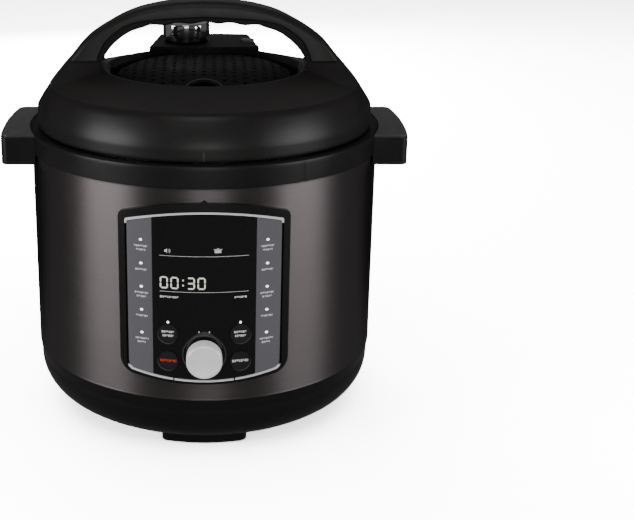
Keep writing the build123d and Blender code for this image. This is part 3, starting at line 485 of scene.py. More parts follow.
def evenly(chain, count):
    """The chain again, with evenly spaced points."""
    lengths = [0.0]
    for p, q in zip(chain, chain[1:]):
        lengths.append(lengths[-1] + math.dist(p, q))
    result, k = [], 0
    for i in range(count + 1):
        goal = lengths[-1] * i / count
        while k < len(chain) - 2 and lengths[k + 1] < goal:
            k += 1
        t = (goal - lengths[k]) / max(lengths[k + 1] - lengths[k], 0.000001)
        result.append(tuple(a + (b - a) * t for a, b in zip(chain[k], chain[k + 1])))
    return result


def on_face(x, z, radius):
    """Point of the body's curved front at that radius."""
    return (x, -math.sqrt(max(radius * radius - x * x, 0.0)), z)


def laid_on_front(name, shapes, radius, thick, finish_name, body="base"):
    """Thin shapes on the curved front, drawn as (x, z) polygons: print, moulded marks, lamps and painted
    highlights.
    """
    points, faces = [], []
    for shape in shapes:
        start, n = len(points), len(shape)
        points += [on_face(x, z, radius + thick) for x, z in shape]
        points += [on_face(x, z, radius - 0.05) for x, z in shape]
        faces.append(tuple(range(start, start + n)))
        faces.append(tuple(range(start + 2 * n - 1, start + n - 1, -1)))
        for i in range(n):
            j = (i + 1) % n
            faces.append((start + i, start + n + i, start + n + j, start + j))
    obj = make_object(name, points, faces, finish_name)
    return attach(obj, body)


def arc_band(cx, cz, inner, outer, start, end, steps=24, taper=False):
    """Quads of a ring or part of one; taper thins its two ends."""
    quads = []
    for i in range(steps):
        corners = []
        for share, edge in ((i, 0), (i, 1), (i + 1, 1), (i + 1, 0)):
            t = share / steps
            a = math.radians(start + (end - start) * t)
            swell = math.sin(math.pi * t) if taper else 1.0
            r = inner + (outer - inner) * swell * edge
            corners.append((cx + r * math.cos(a), cz + r * math.sin(a)))
        if taper and i == 0:
            corners = corners[1:] if corners[0] == corners[1] else corners
        quads.append(corners)
    return quads


def bar(x0, x1, z0, z1, parts=1):
    """Upright rectangle cut into parts along x, so that it can follow the curve."""
    cuts = [x0 + (x1 - x0) * i / parts for i in range(parts + 1)]
    return [[(a, z0), (b, z0), (b, z1), (a, z1)] for a, b in zip(cuts, cuts[1:])]


def oval(x, z, across, up):
    """Outline of a small oval lamp."""
    angles = [2 * math.pi * i / LAMP_SIDES for i in range(LAMP_SIDES)]
    return [(x + across * math.cos(a), z + up * math.sin(a)) for a in angles]


def dashes(x0, x1, z, tall, turn):
    """Row of short plain bars in place of a word."""
    widths = (0.9, 1.5, 1.1, 1.8, 0.8, 1.3)
    gap, x, i, quads = 0.5, x0, turn, []
    while x < x1 - 0.4:
        wide = min(widths[i % len(widths)], x1 - x)
        low = z + (tall * 0.3 if i % 3 == 0 else 0.0)
        quads += bar(x, x + wide, low, z + tall * 0.85)
        x += wide + gap
        i += 1
    return quads


def soften(obj, width, angle=40.0, segments=3):
    """Small bevel on the hard edges of a CAD piece, as a modifier."""
    bevel = obj.modifiers.new("soft_edges", "BEVEL")
    bevel.width = width
    bevel.segments = segments
    bevel.limit_method = "ANGLE"
    bevel.angle_limit = math.radians(angle)
    bevel.harden_normals = False
    return obj


def dress(node_name, finish_name):
    """Gives a CAD piece its finish."""
    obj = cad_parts[node_name]
    obj.data.materials.clear()
    obj.data.materials.append(finish(finish_name))
    return obj


# ------------------------------------------------------------------ lid
SKIRT_R = LID_HIGH.x / MM
SKIRT_LOW_Z = LID_LOW.z / MM
SKIRT_TOP_Z = 280.0
SKIRT_BEND_Z = 270.0
SKIRT_DROP = 1.4
RIDGE = (140.2, 297.0)
CRATER = (88.5, 309.5)
CRATER_FLOOR_Z = 290.0
SEAM_Z = ARCH_LOW.z / MM
ARCH_HALF = ARCH_HIGH.y / MM
ARCH_TOP_Z = ARCH_HIGH.z / MM
ARCH_SIDE = ((0.0, ARCH_TOP_Z), (30.7, 366.7), (59.6, 360.4), (81.3, 350.3), (103.3, 335.7),
             (120.5, 316.0), (131.8, 302.7), (144.0, 286.0), (149.5, 270.0))
GRIP_Z = 349.5
GRIP_SIDE = ((0.0, GRIP_Z), (52.7, 345.6), (75.1, 334.8), (88.5, 318.0), (90.0, 300.0))
ARCH_CHAIN = curve_through(ARCH_SIDE)
GRIP_CHAIN = curve_through(GRIP_SIDE)


def soft_max(a, b, blend):
    """Larger of two heights with a rounded join."""
    share = max(blend - abs(a - b), 0.0) / blend
    return max(a, b) + share * share * blend * 0.25


def boss_height(x, y):
    """Height of the two mounts that the handle stands on."""
    across = max(abs(y) - (ARCH_HALF - 1.0), 0.0)
    inward = max(91.0 - abs(x), 0.0)
    outward = max(abs(x) - 122.0, 0.0)
    return SEAM_Z + 0.4 - 1.15 * math.hypot(across, outward) - 4.0 * inward


def dome_height(r):
    """Height of the lid's top between the ridge and the crater's edge, with soft corners."""
    slope = CRATER[1] + (RIDGE[1] - CRATER[1]) * (r - CRATER[0]) / (RIDGE[0] - CRATER[0])
    share = min(max((SKIRT_R - r) / (SKIRT_R - RIDGE[0]), 0.0), 2.0)
    side = SKIRT_BEND_Z + (RIDGE[1] - SKIRT_BEND_Z) * math.sqrt(share)
    side += (RIDGE[1] - SKIRT_BEND_Z) * 0.35 * (share - math.sqrt(share))
    return -soft_max(-slope, -side, sizes().ridge_radius / MM)


def lid_height(x, y):
    z = dome_height(math.hypot(x, y))
    z = soft_max(z, boss_height(x, y), sizes().boss_blend / MM)
    return -soft_max(-z, -height_on(ARCH_CHAIN, abs(x)), 1.2)


class COOKER_OT_lid(bpy.types.Operator):
    """Builds the domed lid with its skirt, crater and handle mounts"""
    bl_idname = "cooker.lid"
    bl_label = "Lid"

    def execute(self, context):
        steps = sizes().segments * 2
        crater_r, wall_r = CRATER[0], CRATER[0] - 5.0
        radii = [SKIRT_R - (SKIRT_R - RIDGE[0] + 4) * (i / 30) ** 2 for i in range(31)]
        radii += [radii[-1] - (radii[-1] - crater_r - 1.0) * (i + 1) / 34 for i in range(34)]
        edge_z = SKIRT_LOW_Z - SKIRT_DROP
        low = [(SKIRT_R - 3.0, edge_z + 3.0), (SKIRT_R - 3.0, edge_z)]
        low += [(SKIRT_R - 1.0, edge_z), (SKIRT_R - 0.3, edge_z + 0.3), (SKIRT_R, edge_z + 1.0)]
        low += [(SKIRT_R, edge_z + 1.0 + (SKIRT_BEND_Z - edge_z - 1.0) * i / 4) for i in range(1, 4)]
        rows = []
        angles = [2 * math.pi * j / steps for j in range(steps)]
        for r, z in low:
            rows.append([(r * math.cos(a), r * math.sin(a),
                          min(z, height_on(ARCH_CHAIN, abs(r * math.cos(a))))) for a in angles])
        for r in radii:
            rows.append([(r * math.cos(a), r * math.sin(a), lid_height(r * math.cos(a), r * math.sin(a)))
                         for a in angles])
        inner = [(crater_r + 0.3, -0.15), (crater_r - 0.3, -0.6), (crater_r - 1.2, -2.6),
                 (wall_r + 0.6, -5.0), (wall_r, -7.0)]
        for r, drop in inner:
            rows.append([(r * math.cos(a), r * math.sin(a),
                          max(lid_height((crater_r + 1) * math.cos(a), (crater_r + 1) * math.sin(a)) + drop,
                              CRATER_FLOOR_Z)) for a in angles])
        rows.append([(wall_r * math.cos(a), wall_r * math.sin(a), CRATER_FLOOR_Z) for a in angles])
        rows.append([(0.0, 0.0, CRATER_FLOOR_Z) for a in angles])
        points, faces = rows_to_faces(rows, True)
        lid = make_object("lid_dome", points, faces, "lid_plastic", 50.0)
        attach(lid, "lid")
        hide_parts("lid_cover")

        under = [(SKIRT_R - 3.0, SKIRT_LOW_Z + 1.5), (SKIRT_R - 3.2, SKIRT_TOP_Z - 4),
                 (RIDGE[0] - 4, RIDGE[1] - 5), (CRATER[0] + 2, CRATER_FLOOR_Z - 3.0),
                 (0.0, CRATER_FLOOR_Z - 3.0)]
        lining = lathe("lid_lining", under, "inner_plastic")
        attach(lining, "lid")
        self.marks(context)
        return {"FINISHED"}

    def marks(self, context):
        """Lock mark on the skirt's front."""
        mark = laid_on_front("lock_mark", bar(-0.9, 0.3, SKIRT_LOW_Z, SKIRT_BEND_Z - 1), SKIRT_R, 0.25,
                       "cover_plastic", "lid")


def rounded_section(half, top, low, round_top, round_low, steps=6):
    """Closed section as (y, height share) points, rounded at its four corners."""
    section = arc_points(half - round_top, top - round_top, round_top, 0, 90, steps)
    section += arc_points(-half + round_top, top - round_top, round_top, 90, 180, steps)
    section += arc_points(-half + round_low, low + round_low, round_low, 180, 270, steps)
    section += arc_points(half - round_low, low + round_low, round_low, 270, 360, steps)
    return section


def swept_arch(name, outer, inner, half, round_top, round_low, finish_name):
    """Bar whose section stretches from an inner curve to an outer one, both as (x, z)."""
    rows = []
    for (xo, zo), (xi, zi) in zip(outer, inner):
        tall = math.dist((xo, zo), (xi, zi))
        top_r = min(round_top, tall * 0.45)
        low_r = min(round_low, tall * 0.45)
        row = []
        for y, h in rounded_section(half, tall, 0.0, top_r, low_r):
            t = h / tall
            row.append((xi + (xo - xi) * t, y, zi + (zo - zi) * t))
        rows.append(row)
    points, faces = capped(rows)
    return make_object(name, points, faces, finish_name, 40.0)


def mirrored(chain):
    """A right-hand chain from the crown down, made whole from left to right."""
    return [(-x, z) for x, z in reversed(chain)][:-1] + chain


def above_seam(chain, seam):
    """The part of a chain that stands over the seam, ending exactly on it."""
    kept = [chain[0]]
    for p, q in zip(chain, chain[1:]):
        if q[1] < seam:
            t = (p[1] - seam) / (p[1] - q[1])
            kept.append((p[0] + (q[0] - p[0]) * t, seam))
            break
        kept.append(q)
    return kept


def scallop(x):
    """Depth of the finger hollows under the grip."""
    reach = 58.0
    if abs(x) > reach:
        return 0.0
    fade = min((reach - abs(x)) / 10.0, 1.0)
    return fade * 1.5 * (0.5 - 0.5 * math.cos(2 * math.pi * (x + reach) / 23.2))


class COOKER_OT_handle(bpy.types.Operator):
    """Builds the arched lid handle and its grip with finger hollows"""
    bl_idname = "cooker.handle"
    bl_label = "Lid handle"

    def execute(self, context):
        count = 60
        plate = 5.0
        outer = mirrored(evenly(above_seam(ARCH_CHAIN, SEAM_Z + 0.2), count))
        inner_side = above_seam(GRIP_CHAIN, SEAM_Z + 0.2)
        middle_side = [(x * (1 + plate / 90.0), z + plate * min(1.0, (z - SEAM_Z) / 12.0))
                       for x, z in inner_side]
        inner = mirrored(evenly(inner_side, count))
        middle = mirrored(evenly(middle_side, count))
        inner = [(x, z + scallop(x)) for x, z in inner]
        arch = swept_arch("handle_arch", outer, middle, ARCH_HALF, 6.0, 1.2, "handle_plastic")
        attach(arch, "lid")
        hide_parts("lid_handle")
        lifted = [(x, z - 0.15) for x, z in middle]
        grip = swept_arch("handle_underside", lifted, inner, ARCH_HALF - 0.8, 0.4, 2.0, "matt_grip")
        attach(grip, "lid")
        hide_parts("handle_grip")
        return {"FINISHED"}


# ------------------------------------------------------------------ body
SEAM_ANGLE = math.radians(-59.5)
SEAM_WIDTH = math.radians(0.35)


class COOKER_OT_band(bpy.types.Operator):
    """Builds the rim band with its rounded edge and the joint in it"""
    bl_idname = "cooker.band"
    bl_label = "Rim band"

    def execute(self, context):
        outer = BAND_R / MM
        low, top = BAND_LOW.z / MM, BAND_HIGH.z / MM
        profile = [(outer - 2.5, low), (outer - 0.4, low)]
        profile += [(outer, low + 0.4), (outer, low + 4), (outer, top - 4)]
        profile += arc_points(outer - 1.5, top - 1.5, 1.5, 0, 90, 5)
        profile += [(outer - 8, top - 0.02), (138.3, top)]
        profile += [(137.4, top - 0.4), (137.1, top - 1.2), (137.1, low + 4.8)]
        steps = sizes().segments * 4

        def groove(radius, along, angle):
            away = abs((angle - SEAM_ANGLE + math.pi) % (2 * math.pi) - math.pi)
            deep = max(0.0, 1.0 - away / (SEAM_WIDTH * 2))
            return radius - 0.5 * deep if radius > outer - 2.4 else radius

        band = lathe("rim", profile, "housing_plastic", steps=steps, shape=groove)
        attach(band, "base")
        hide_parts("rim_band")
        return {"FINISHED"}


class COOKER_OT_body(bpy.types.Operator):
    """Dresses the bowl, feet, steel drum and side handles"""
    bl_idname = "cooker.body"
    bl_label = "Body"

    def execute(self, context):
        dress("outer_shell", "dark_steel")
        dress("bottom_housing", "housing_plastic")
        dress("feet", "housing_plastic")
        dress("foot_pads", "rubber")
        dress("base_screws", "screw_steel")
        for side in ("right", "left"):
            soften(dress("side_handle_" + side, "housing_plastic"), 0.0012)
            soften(dress("handle_cover_" + side, "cover_plastic"), sizes().edge)
        self.steel_hems(context)
        return {"FINISHED"}

    def steel_hems(self, context):
        """Rolled edges at the top and bottom of the steel drum."""
        r = SHELL_R / MM
        for name, z, way in (("upper_hem", SHELL_HIGH.z / MM, -1), ("lower_hem", SHELL_LOW.z / MM, 1)):
            profile = [(r - 0.9, z + way * 1.2), (r - 0.9, z)]
            profile += [(r - 0.3, z), (r + 0.02, z + way * 0.3)]
            profile += [(r + 0.02, z + way * 1.1), (r - 0.05, z + way * 1.3)]
            hem = lathe(name, profile, "dark_steel")
            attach(hem, "base")


# ------------------------------------------------------------------ panel
FACE_R = -BEZEL_LOW.y / MM
GLASS_R = WINDOW_R / MM
STRIP_FACE_R = GLASS_R + 0.2
DIAL_X = (DIAL_LOW.x + DIAL_HIGH.x) / 2 / MM
DIAL_Z = (DIAL_LOW.z + DIAL_HIGH.z) / 2 / MM
DIAL_R = (DIAL_HIGH.x - DIAL_LOW.x) / 2 / MM
LAMP_X = 51.0
LAMP_TOP = 197.4
LAMP_STEP = 20.1
LAMP_COUNT = 5
LAMP_SIDES = 20
PIPE_COVER = 0.34   # how far a programme lamp stands over its light pipe
INK = 0.05          # thickness of a printed mark

SEGMENTS = {"0": "abcdef", "3": "abcdg"}


def digit_shapes(symbol, x, z, wide, tall, stroke):
    """Bars of one seven-segment digit whose lower left corner is at (x, z)."""
    half, gap = stroke / 2, 0.18
    mid = z + tall / 2

    def flat(level):
        return [(x + half + gap, level), (x + stroke + gap, level + half),
                (x + wide - stroke - gap, level + half), (x + wide - half - gap, level),
                (x + wide - stroke - gap, level - half),
                (x + stroke + gap, level - half)]

    def tall_bar(side, low, high):
        return [(side, low + half + gap), (side + half, low + stroke + gap),
                (side + half, high - stroke - gap), (side, high - half - gap),
                (side - half, high - stroke - gap), (side - half, low + stroke + gap)]

    left, right = x + half, x + wide - half
    bars = {
        "a": flat(z + tall - half), "g": flat(mid), "d": flat(z + half),
        "f": tall_bar(left, mid - half, z + tall), "b": tall_bar(right, mid - half, z + tall),
        "e": tall_bar(left, z, mid + half), "c": tall_bar(right, z, mid + half),
    }
    return [bars[key] for key in SEGMENTS[symbol]]


def key_centre(name):
    low, high = KEY_BOX[name]
    return (low.x + high.x) / 2 / MM, (low.z + high.z) / 2 / MM, (high.x - low.x) / 2 / MM


DIGIT_TALL, DIGIT_WIDE, DIGIT_STROKE = 10.4, 6.6, 1.25
DIGIT_LOW_Z = 157.3
DIGIT_PLACES = (("0", -35.8), ("0", -27.2), ("3", -14.0), ("0", -5.4))
COLON_LEFT, COLON_RIGHT, COLON_TALL = -17.6, -16.3, 1.3
COLON_LEVELS = (160.0, 164.4)
RULE_LEVELS = (185.5, 154.9)
RULE_REACH, RULE_HALF, RULE_PARTS = 36, 0.16, 18
CAPTION_Z, CAPTION_TALL = 149.3, 2.0


class COOKER_OT_panel(bpy.types.Operator):
    """Builds the control panel: trim, film strips, glass, digits, icons and marks"""
    bl_idname = "cooker.panel"
    bl_label = "Control panel"

    def execute(self, context):
        soften(dress("control_bezel", "housing_plastic"), 0.0005)
        dress("display_window", "gloss_black")
        # The chrome trim gets a near-white finish that paints in its reflection.
        dress("chrome_trim", "bright_trim")
        dress("key_strip_left", "strip_film")
        dress("key_strip_right", "strip_film")
        dress("light_pipes", "lamp_light")
        self.lamps(context)
        self.display(context)
        self.icons(context)
        self.strip_marks(context)
        return {"FINISHED"}

    def lamps(self, context):
        """Small oval lamps of the strips and over the two upper keys."""
        spots = []
        for side in (-1, 1):
            spots += [(side * LAMP_X, LAMP_TOP - LAMP_STEP * i) for i in range(LAMP_COUNT)]
        for x, z in spots:
            lamp = laid_on_front("programme_lamp", [oval(x, z, 1.25, 0.95)], STRIP_FACE_R, PIPE_COVER, "lamp_light")
        for name in ("delay_button", "warm_button"):
            x, z, r = key_centre(name)
            lamp = laid_on_front("key_lamp", [oval(x, z + (r + 1.6), 0.9, 0.9)], GLASS_R, 0.12, "lamp_light")

    def display(self, context):
        """Digits of the timer, with the two lines above and below them."""
        shapes = []
        for symbol, x in DIGIT_PLACES:
            shapes += digit_shapes(symbol, x, DIGIT_LOW_Z, DIGIT_WIDE, DIGIT_TALL, DIGIT_STROKE)
        for z in COLON_LEVELS:
            shapes += bar(COLON_LEFT, COLON_RIGHT, z, z + COLON_TALL)
        digits = laid_on_front("timer_digits", shapes, GLASS_R, 0.06, "digit_light")
        rules = []
        for z in RULE_LEVELS:
            rules += bar(-RULE_REACH, RULE_REACH, z - RULE_HALF, z + RULE_HALF, RULE_PARTS)
        lines = laid_on_front("display_rules", rules, GLASS_R, INK, "mark_white")

    def icons(self, context):
        """Generic pictures: a sounder and a pot on the glass, plain marks on the keys."""
        shapes = [[(-32.0, 188.9), (-31.0, 188.9), (-29.6, 187.7),
                   (-29.6, 191.7), (-31.0, 190.5), (-32.0, 190.5)]]
        shapes += arc_band(-29.4, 189.7, 1.2, 1.55, -50, 50, 8)
        shapes += arc_band(-29.4, 189.7, 2.1, 2.45, -50, 50, 8)
        shapes += bar(8.4, 13.6, 188.6, 191.0)
        shapes += bar(7.6, 14.4, 191.3, 191.8)
        shapes += bar(10.4, 11.6, 192.1, 192.6)
        shapes += dashes(-35.8, -21.0, CAPTION_Z, CAPTION_TALL, 1)
        shapes += dashes(24.5, 34.5, CAPTION_Z, CAPTION_TALL, 2)
        marks = laid_on_front("glass_icons", shapes, GLASS_R, INK, "mark_white")

    def strip_marks(self, context):
        """Plain white bars that stand in for the programme names."""
        shapes = []
        for side in (-1, 1):
            for i in range(LAMP_COUNT):
                x, z = side * LAMP_X, LAMP_TOP - LAMP_STEP * i
                half = 5.4 - 0.7 * (i % 2)
                shapes += dashes(x - half, x + half, z - 6.2, 1.9, i)
                if i % 2 == 0:
                    shapes += dashes(x - half * 0.7, x + half * 0.7, z - 9.4, 1.9, i + 3)
        marks = laid_on_front("programme_marks", shapes, STRIP_FACE_R, INK, "mark_white")


KEY_CLEAR = 0.05    # gap between a key's face and the mark on it


class COOKER_OT_keys(bpy.types.Operator):
    """Dresses the four keys, draws their marks and paints a highlight on the lower rim round each"""
    bl_idname = "cooker.keys"
    bl_label = "Keys"

    def execute(self, context):
        bodies = {"delay_button": "delay_key", "warm_button": "warm_key",
                  "cancel_button": "cancel_key", "start_button": "start_key"}
        for name, body in bodies.items():
            soften(dress(name, "key_gloss"), 0.0003)
            x, z, r = key_centre(name)
            side = 1 if x > 0 else -1
            tilt = side * 25
            # Painted highlight: a tapered grey crescent on the lower rim round the key, lighter than the
            # black glass.
            highlight_arcs = arc_band(x, z, r + 0.5, r + 1.6, 195 + tilt, 345 + tilt, 28, taper=True)
            highlight_piece = laid_on_front("key_crescent", highlight_arcs, GLASS_R, 0.08, "ring_grey")
            look = "mark_red" if name == "cancel_button" else "mark_white"
            if name in ("cancel_button", "start_button"):
                shapes = dashes(x - 6.6, x + 6.6, z - 1.2, 2.6, 1)
            else:
                shapes = dashes(x - 5.2, x + 5.2, z + 0.6, 2.2, 1) + dashes(x - 4.4, x + 4.4, z - 2.8, 2.2, 4)
            mark = laid_on_front("key_mark", shapes, FACE_R + KEY_CLEAR, INK, look, body)
        return {"FINISHED"}


class COOKER_OT_dial(bpy.types.Operator):
    """Builds the turned metal dial and the ring round it"""
    bl_idname = "cooker.dial"
    bl_label = "Dial"

    def execute(self, context):
        front, rear = DIAL_LOW.y / MM, DIAL_HIGH.y / MM
        r = DIAL_R
        profile = [(0.0, front + 0.5), (3.0, front + 0.48), (r - 3.0, front + 0.25), (r - 2.2, front + 0.05)]
        profile += [(r - 1.4, front), (r - 0.7, front + 0.15), (r - 0.25, front + 0.5), (r, front + 1.2)]
        profile += [(r, rear - 1.0), (r - 0.4, rear - 0.4), (r - 1.2, rear), (3.2, rear)]
        # The dial's near-white face paints in the reflection of the spun metal.
        dial = lathe("dial_cap", profile, "dial_metal", centre=(DIAL_X, DIAL_Z), axis="Y",
                     steps=128, sharp=25.0)
        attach(dial, "dial")
        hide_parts("control_knob")
        circle = arc_band(DIAL_X, DIAL_Z, r + 2.6, r + 3.4, 0, 360, 72)
        ring = laid_on_front("dial_ring", circle, GLASS_R, 0.12, "ring_grey")
        low, high = DIAL_Z + r + 5.0, DIAL_Z + r + 6.6
        ticks = bar(-4.6, -3.9, low, high) + bar(3.9, 4.6, low, high)
        marks = laid_on_front("dial_ticks", ticks, GLASS_R, INK, "mark_white")
        dress("dial_shaft", "inner_plastic")
        return {"FINISHED"}


# ------------------------------------------------------------------ valve and vent
NOTCH_R = 15.5
LIP_R = 0.9         # radius of the lip's own round section
LIP_STEPS, LIP_SIDES = 40, 8
LIP_START, LIP_SPAN = 12, 156
CROWN_FLAT_R, CROWN_FALL_R = 36.0, 41.0
CROWN_TOP_Z, CROWN_EDGE_Z, CROWN_RISE = 312.4, 303.0, 9.9


class COOKER_OT_vent(bpy.types.Operator):
    """Dresses the perforated cover and the steam valve's housing"""
    bl_idname = "cooker.vent"
    bl_label = "Vent cover and valve"

    def execute(self, context):
        dress("vent_cover", "matt_grip")
        soften(dress("steam_housing", "matt_grip"), 0.0006, 50.0)
        self.notch_rim(context)
        self.knob(context)
        self.float_head(context)
        return {"FINISHED"}

    def notch_rim(self, context):
        """Raised lip round the finger notch in the cover's front edge."""
        reach = VENT_HIGH.x / MM
        rows = []
        for i in range(LIP_STEPS + 1):
            a = math.radians(LIP_START + LIP_SPAN * i / LIP_STEPS)
            row = []
            for k in range(LIP_SIDES):
                b = 2 * math.pi * k / LIP_SIDES
                r = NOTCH_R + LIP_R + LIP_R * math.cos(b)
                x, y = r * math.cos(a), -reach + r * math.sin(a)
                away = math.hypot(x, y)
                z = CROWN_TOP_Z
                if away > CROWN_FLAT_R:
                    fall = ((away - CROWN_FLAT_R) / CROWN_FALL_R) ** 2
                    z = CROWN_EDGE_Z + max(0.0, CROWN_RISE * (1 - fall))
                row.append((x, y, z - 0.6 + LIP_R * math.sin(b)))
            rows.append(row)
        points, faces = rows_to_faces(rows, True)
        lip = make_object("notch_lip", points, faces, "cover_plastic")
        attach(lip, "vent")

    def knob(self, context):
        """Bright release knob with a dark skirt."""
        cx, cy = (KNOB_LOW.x + KNOB_HIGH.x) / 2 / MM, (KNOB_LOW.y + KNOB_HIGH.y) / 2 / MM
        r = (KNOB_HIGH.x - KNOB_LOW.x) / 2 / MM
        low, top = KNOB_LOW.z / MM, KNOB_HIGH.z / MM
        rim = low + 3.5
        skirt = lathe("knob_skirt", [(11.0, low), (r - 3, low), (r - 3, rim + 0.1)], "housing_plastic",
                      centre=(cx, cy), steps=96)
        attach(skirt, "release")
        profile = [(11.0, rim), (r - 0.8, rim), (r - 0.2, rim + 0.3), (r, rim + 1.0), (r, top - 3.0)]
        profile += arc_points(r - 2.2, top - 2.2, 2.2, 0, 80, 6)
        profile += [(r - 5, top - 0.02), (r - 9, top - 0.4), (0.0, top - 0.8)]
        cap = lathe("knob_cap", profile, "chrome", centre=(cx, cy), steps=128)
        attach(cap, "release")
        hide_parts("release_knob")

    def float_head(self, context):
        soften(dress("float_valve", "cover_plastic"), 0.0004)


class COOKER_OT_inside(bpy.types.Operator):
    """Dresses the pot, the inner lid, the seals and the works inside"""
    bl_idname = "cooker.inside"
    bl_label = "Inside"

    def execute(self, context):
        looks = {
            "steel": ("inner_pot", "inner_lid", "liner", "locking_ring"),
            "cast_aluminium": ("heating_plate", "sensor_cap"),
            "sheath": ("heating_element",),
            "spring_wire": ("ring_rack",),
            "silicone": ("sealing_ring", "float_seal"),
            "smoke": ("condensation_cup",),
            "inner_plastic": ("encoder_plunger", "encoder_case", "buzzer", "tact_switches", "cup_bracket",
                              "power_inlet", "pressure_switch", "sensor_holder", "board_parts",
                              "display_module",
                              "thermal_cutoff", "lock_pin"),
            "board_green": ("power_board", "control_board"),
            "screw_steel": ("handle_screws", "valve_pipe", "valve_weight", "anti_block_shield"),
        }
        for finish_name, nodes in looks.items():
            for node_name in nodes:
                dress(node_name, finish_name)
        return {"FINISHED"}


COIL_STEPS, COIL_SIDES = 32, 10
# CAD node, piece, body, joint, coil radius, wire radius, turns, travel
SPRINGS = (
    ("knob_spring", "knob_coil", "lid", "release_press", 7.8, 0.5, 6, 5.0),
    ("sensor_spring", "sensor_coil", "base", "sensor_press", 8.0, 0.7, 4, 3.0),
)


def wire_coil(name, centre, radius, wire, low, high, turns):
    """Round-wire spring standing on Z, as a mesh tube along a helix."""
    steps, sides = turns * COIL_STEPS, COIL_SIDES
    rise = (high - low - 2 * wire) / steps
    rows = []
    for i in range(steps + 1):
        a = 2 * math.pi * i / COIL_STEPS
        row = []
        for k in range(sides):
            b = 2 * math.pi * k / sides
            r = radius + wire * math.cos(b)
            row.append((centre[0] + r * math.cos(a), centre[1] + r * math.sin(a),
                        low + wire + rise * i + wire * math.sin(b)))
        rows.append(row)
    points, faces = capped(rows)
    return make_object(name, points, faces, "spring_wire")


class COOKER_OT_springs(bpy.types.Operator):
    """Builds the two springs as fixed coils in the boxes of their CAD pieces"""
    bl_idname = "cooker.springs"
    bl_label = "Springs"

    def execute(self, context):
        for node_name, name, body, joint, radius, wire, turns, travel in SPRINGS:
            low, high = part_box(node_name)
            middle = ((low.x + high.x) / 2 / MM, (low.y + high.y) / 2 / MM)
            z0, z1 = low.z / MM, high.z / MM
            spring = wire_coil(name, middle, radius, wire, z0, z1, turns)
            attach(spring, body)
            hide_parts(node_name)
            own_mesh(spring)
        return {"FINISHED"}


# ------------------------------------------------------------------ studio
WORLD_LEVEL = 0.11
FLOOR_HALF = 6.0
FLOOR_LEVEL = 0.6   # how pale the floor is to the cooker
FLOOR_SEEN = 13.0   # how pale the camera sees it
# name, place, aim, wide, tall, watts, seen in reflections
LIGHTS = (
    ("top_light", (0.0, 0.3, 2.4), (0.0, 0.3, 0.0), 4.0, 4.0, 62.0, False),
    ("left_light", (-1.45, -0.78, 0.40), (0.0, 0.0, 0.25), 0.95, 0.8, 15.0, True),
    ("right_light", (1.45, -0.76, 0.40), (0.0, 0.0, 0.25), 0.95, 0.8, 12.0, True),
    ("front_light", (-0.1, -1.5, 1.9), (0.0, 0.0, 0.3), 1.0, 1.0, 5.5, True),
    ("low_light", (0.05, -1.4, 0.30), (0.0, 0.0, 0.12), 0.5, 0.4, 2.6, True),
    ("rear_fill", (-0.5, 1.7, 0.9), (0.0, 0.0, 0.2), 1.6, 1.2, 22.0, False),
    ("back_light", (0.1, 1.5, 1.1), (0.0, 0.0, 0.3), 1.2, 1.2, 0.35, True),
)
# name, place, aim, wide, tall
CARDS = (
    ("card_left", (-0.62, 0.85, 0.25), (0.0, 0.0, 0.2), 0.8, 1.2),
    ("card_right", (0.62, 0.85, 0.25), (0.0, 0.0, 0.2), 0.8, 1.2),
)
SENSOR_WIDE = 36.0
LENS = 66.565
LENS_SHIFT = (0.1779, -0.1262)
CLIP_START = 0.02


def point_at(obj, place, aim):
    """Puts a light or a card at a place, facing its aim."""
    obj.location = place
    obj.rotation_euler = (Vector(aim) - Vector(place)).to_track_quat("-Z", "Y").to_euler()


def flat_sheet(name, wide, tall, material):
    """Object of one rectangle lying in its own middle."""
    mesh = bpy.data.meshes.new(name)
    w, t = wide / 2, tall / 2
    mesh.from_pydata([(-w, -t, 0), (w, -t, 0), (w, t, 0), (-w, t, 0)], [], [(0, 1, 2, 3)])
    mesh.materials.append(material)
    return bpy.data.objects.new(name, mesh)


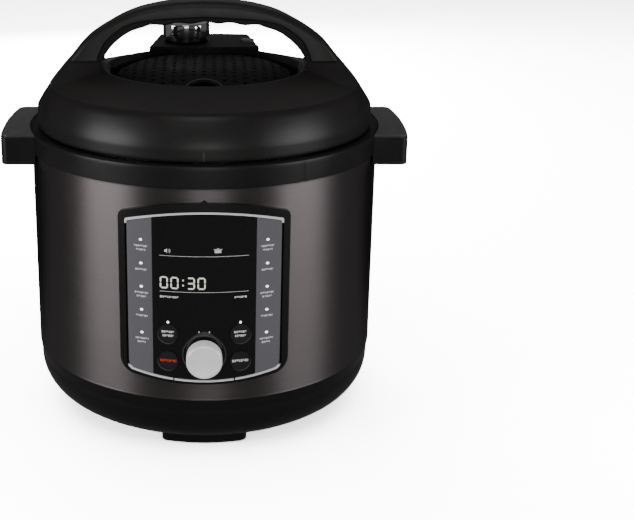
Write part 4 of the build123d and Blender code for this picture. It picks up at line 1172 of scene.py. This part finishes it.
class COOKER_OT_studio(bpy.types.Operator):
    """Sets up the pale floor, the soft lights and the camera"""
    bl_idname = "cooker.studio"
    bl_label = "Studio"

    def execute(self, context):
        self.world(context)
        self.floor(context)
        self.lights(context)
        self.cards(context)
        self.camera(context)
        return {"FINISHED"}

    def world(self, context):
        world = bpy.data.worlds.new("studio_world")
        world.use_nodes = True
        background = world.node_tree.nodes["Background"]
        background.inputs["Color"].default_value = (1.0, 0.985, 0.98, 1.0)
        background.inputs["Strength"].default_value = WORLD_LEVEL
        context.scene.world = world

    def floor(self, context):
        """Pale floor that the camera sees brighter than the cooker does."""
        material = bpy.data.materials.new("studio_floor")
        material.use_nodes = True
        tree = material.node_tree
        tree.nodes.remove(tree.nodes["Principled BSDF"])
        matt = tree.nodes.new("ShaderNodeBsdfDiffuse")
        path = tree.nodes.new("ShaderNodeLightPath")
        level = ramp(tree, 0.0, 1.0, FLOOR_LEVEL, FLOOR_SEEN)
        tree.links.new(path.outputs["Is Camera Ray"], level.inputs["Value"])
        tree.links.new(level.outputs["Result"], matt.inputs["Color"])
        tree.links.new(matt.outputs["BSDF"], tree.nodes["Material Output"].inputs["Surface"])
        floor = flat_sheet("floor", FLOOR_HALF * 2, FLOOR_HALF * 2, material)
        floor.visible_glossy = False
        context.scene.collection.objects.link(floor)

    def lights(self, context):
        for name, place, aim, wide, tall, power, gleam in LIGHTS:
            data = bpy.data.lights.new(name, "AREA")
            data.shape = "RECTANGLE"
            data.size = wide
            data.size_y = tall
            data.energy = power
            light = bpy.data.objects.new(name, data)
            point_at(light, place, aim)
            light.visible_glossy = gleam
            context.scene.collection.objects.link(light)

    def cards(self, context):
        """Dark cards behind the cooker, one to each side, that only reflections see."""
        material, tree, bsdf = blank("card_black")
        bsdf.inputs["Base Color"].default_value = (0.01, 0.01, 0.01, 1.0)
        bsdf.inputs["Roughness"].default_value = 1.0
        for name, place, aim, wide, tall in CARDS:
            card = flat_sheet(name, wide, tall, material)
            point_at(card, place, aim)
            card.visible_camera = False
            card.visible_shadow = False
            card.visible_diffuse = False
            context.scene.collection.objects.link(card)

    def camera(self, context):
        data = bpy.data.cameras.new("camera")
        data.sensor_width = SENSOR_WIDE
        data.lens = LENS
        data.shift_x, data.shift_y = LENS_SHIFT
        data.clip_start = CLIP_START
        camera = bpy.data.objects.new("camera", data)
        camera.location = (0.0, -sizes().camera_distance, sizes().camera_height)
        camera.rotation_euler = (math.pi / 2 - sizes().camera_tilt, 0.0, 0.0)
        context.scene.collection.objects.link(camera)
        context.scene.camera = camera


# ------------------------------------------------------------------ panel in the sidebar
class COOKER_PT_sidebar(bpy.types.Panel):
    """Buttons and values of the cooker"""
    bl_idname = "COOKER_PT_sidebar"
    bl_label = "Pressure cooker"
    bl_space_type = "VIEW_3D"
    bl_region_type = "UI"
    bl_category = "Cooker"

    def draw(self, context):
        layout = self.layout
        for group in (context.scene.cooker_sizes, context.scene.cooker_colours):
            for key in group.__annotations__:
                layout.prop(group, key)
        for operator in OPERATORS:
            layout.operator(operator.bl_idname)


OPERATORS = (COOKER_OT_lid, COOKER_OT_handle, COOKER_OT_band, COOKER_OT_body, COOKER_OT_panel, COOKER_OT_keys,
             COOKER_OT_dial, COOKER_OT_vent, COOKER_OT_inside, COOKER_OT_springs, COOKER_OT_studio)
CLASSES = (CookerSizes, CookerColours) + OPERATORS + (COOKER_PT_sidebar,)


def register():
    for item in CLASSES:
        bpy.utils.register_class(item)
    bpy.types.Scene.cooker_sizes = bpy.props.PointerProperty(type=CookerSizes)
    bpy.types.Scene.cooker_colours = bpy.props.PointerProperty(type=CookerColours)


def unregister():
    del bpy.types.Scene.cooker_colours
    del bpy.types.Scene.cooker_sizes
    for item in reversed(CLASSES):
        bpy.utils.unregister_class(item)


def main():
    register()
    for operator in OPERATORS:
        group, name = operator.bl_idname.split(".")
        getattr(getattr(bpy.ops, group), name)()


if __name__ == "__main__":
    main()
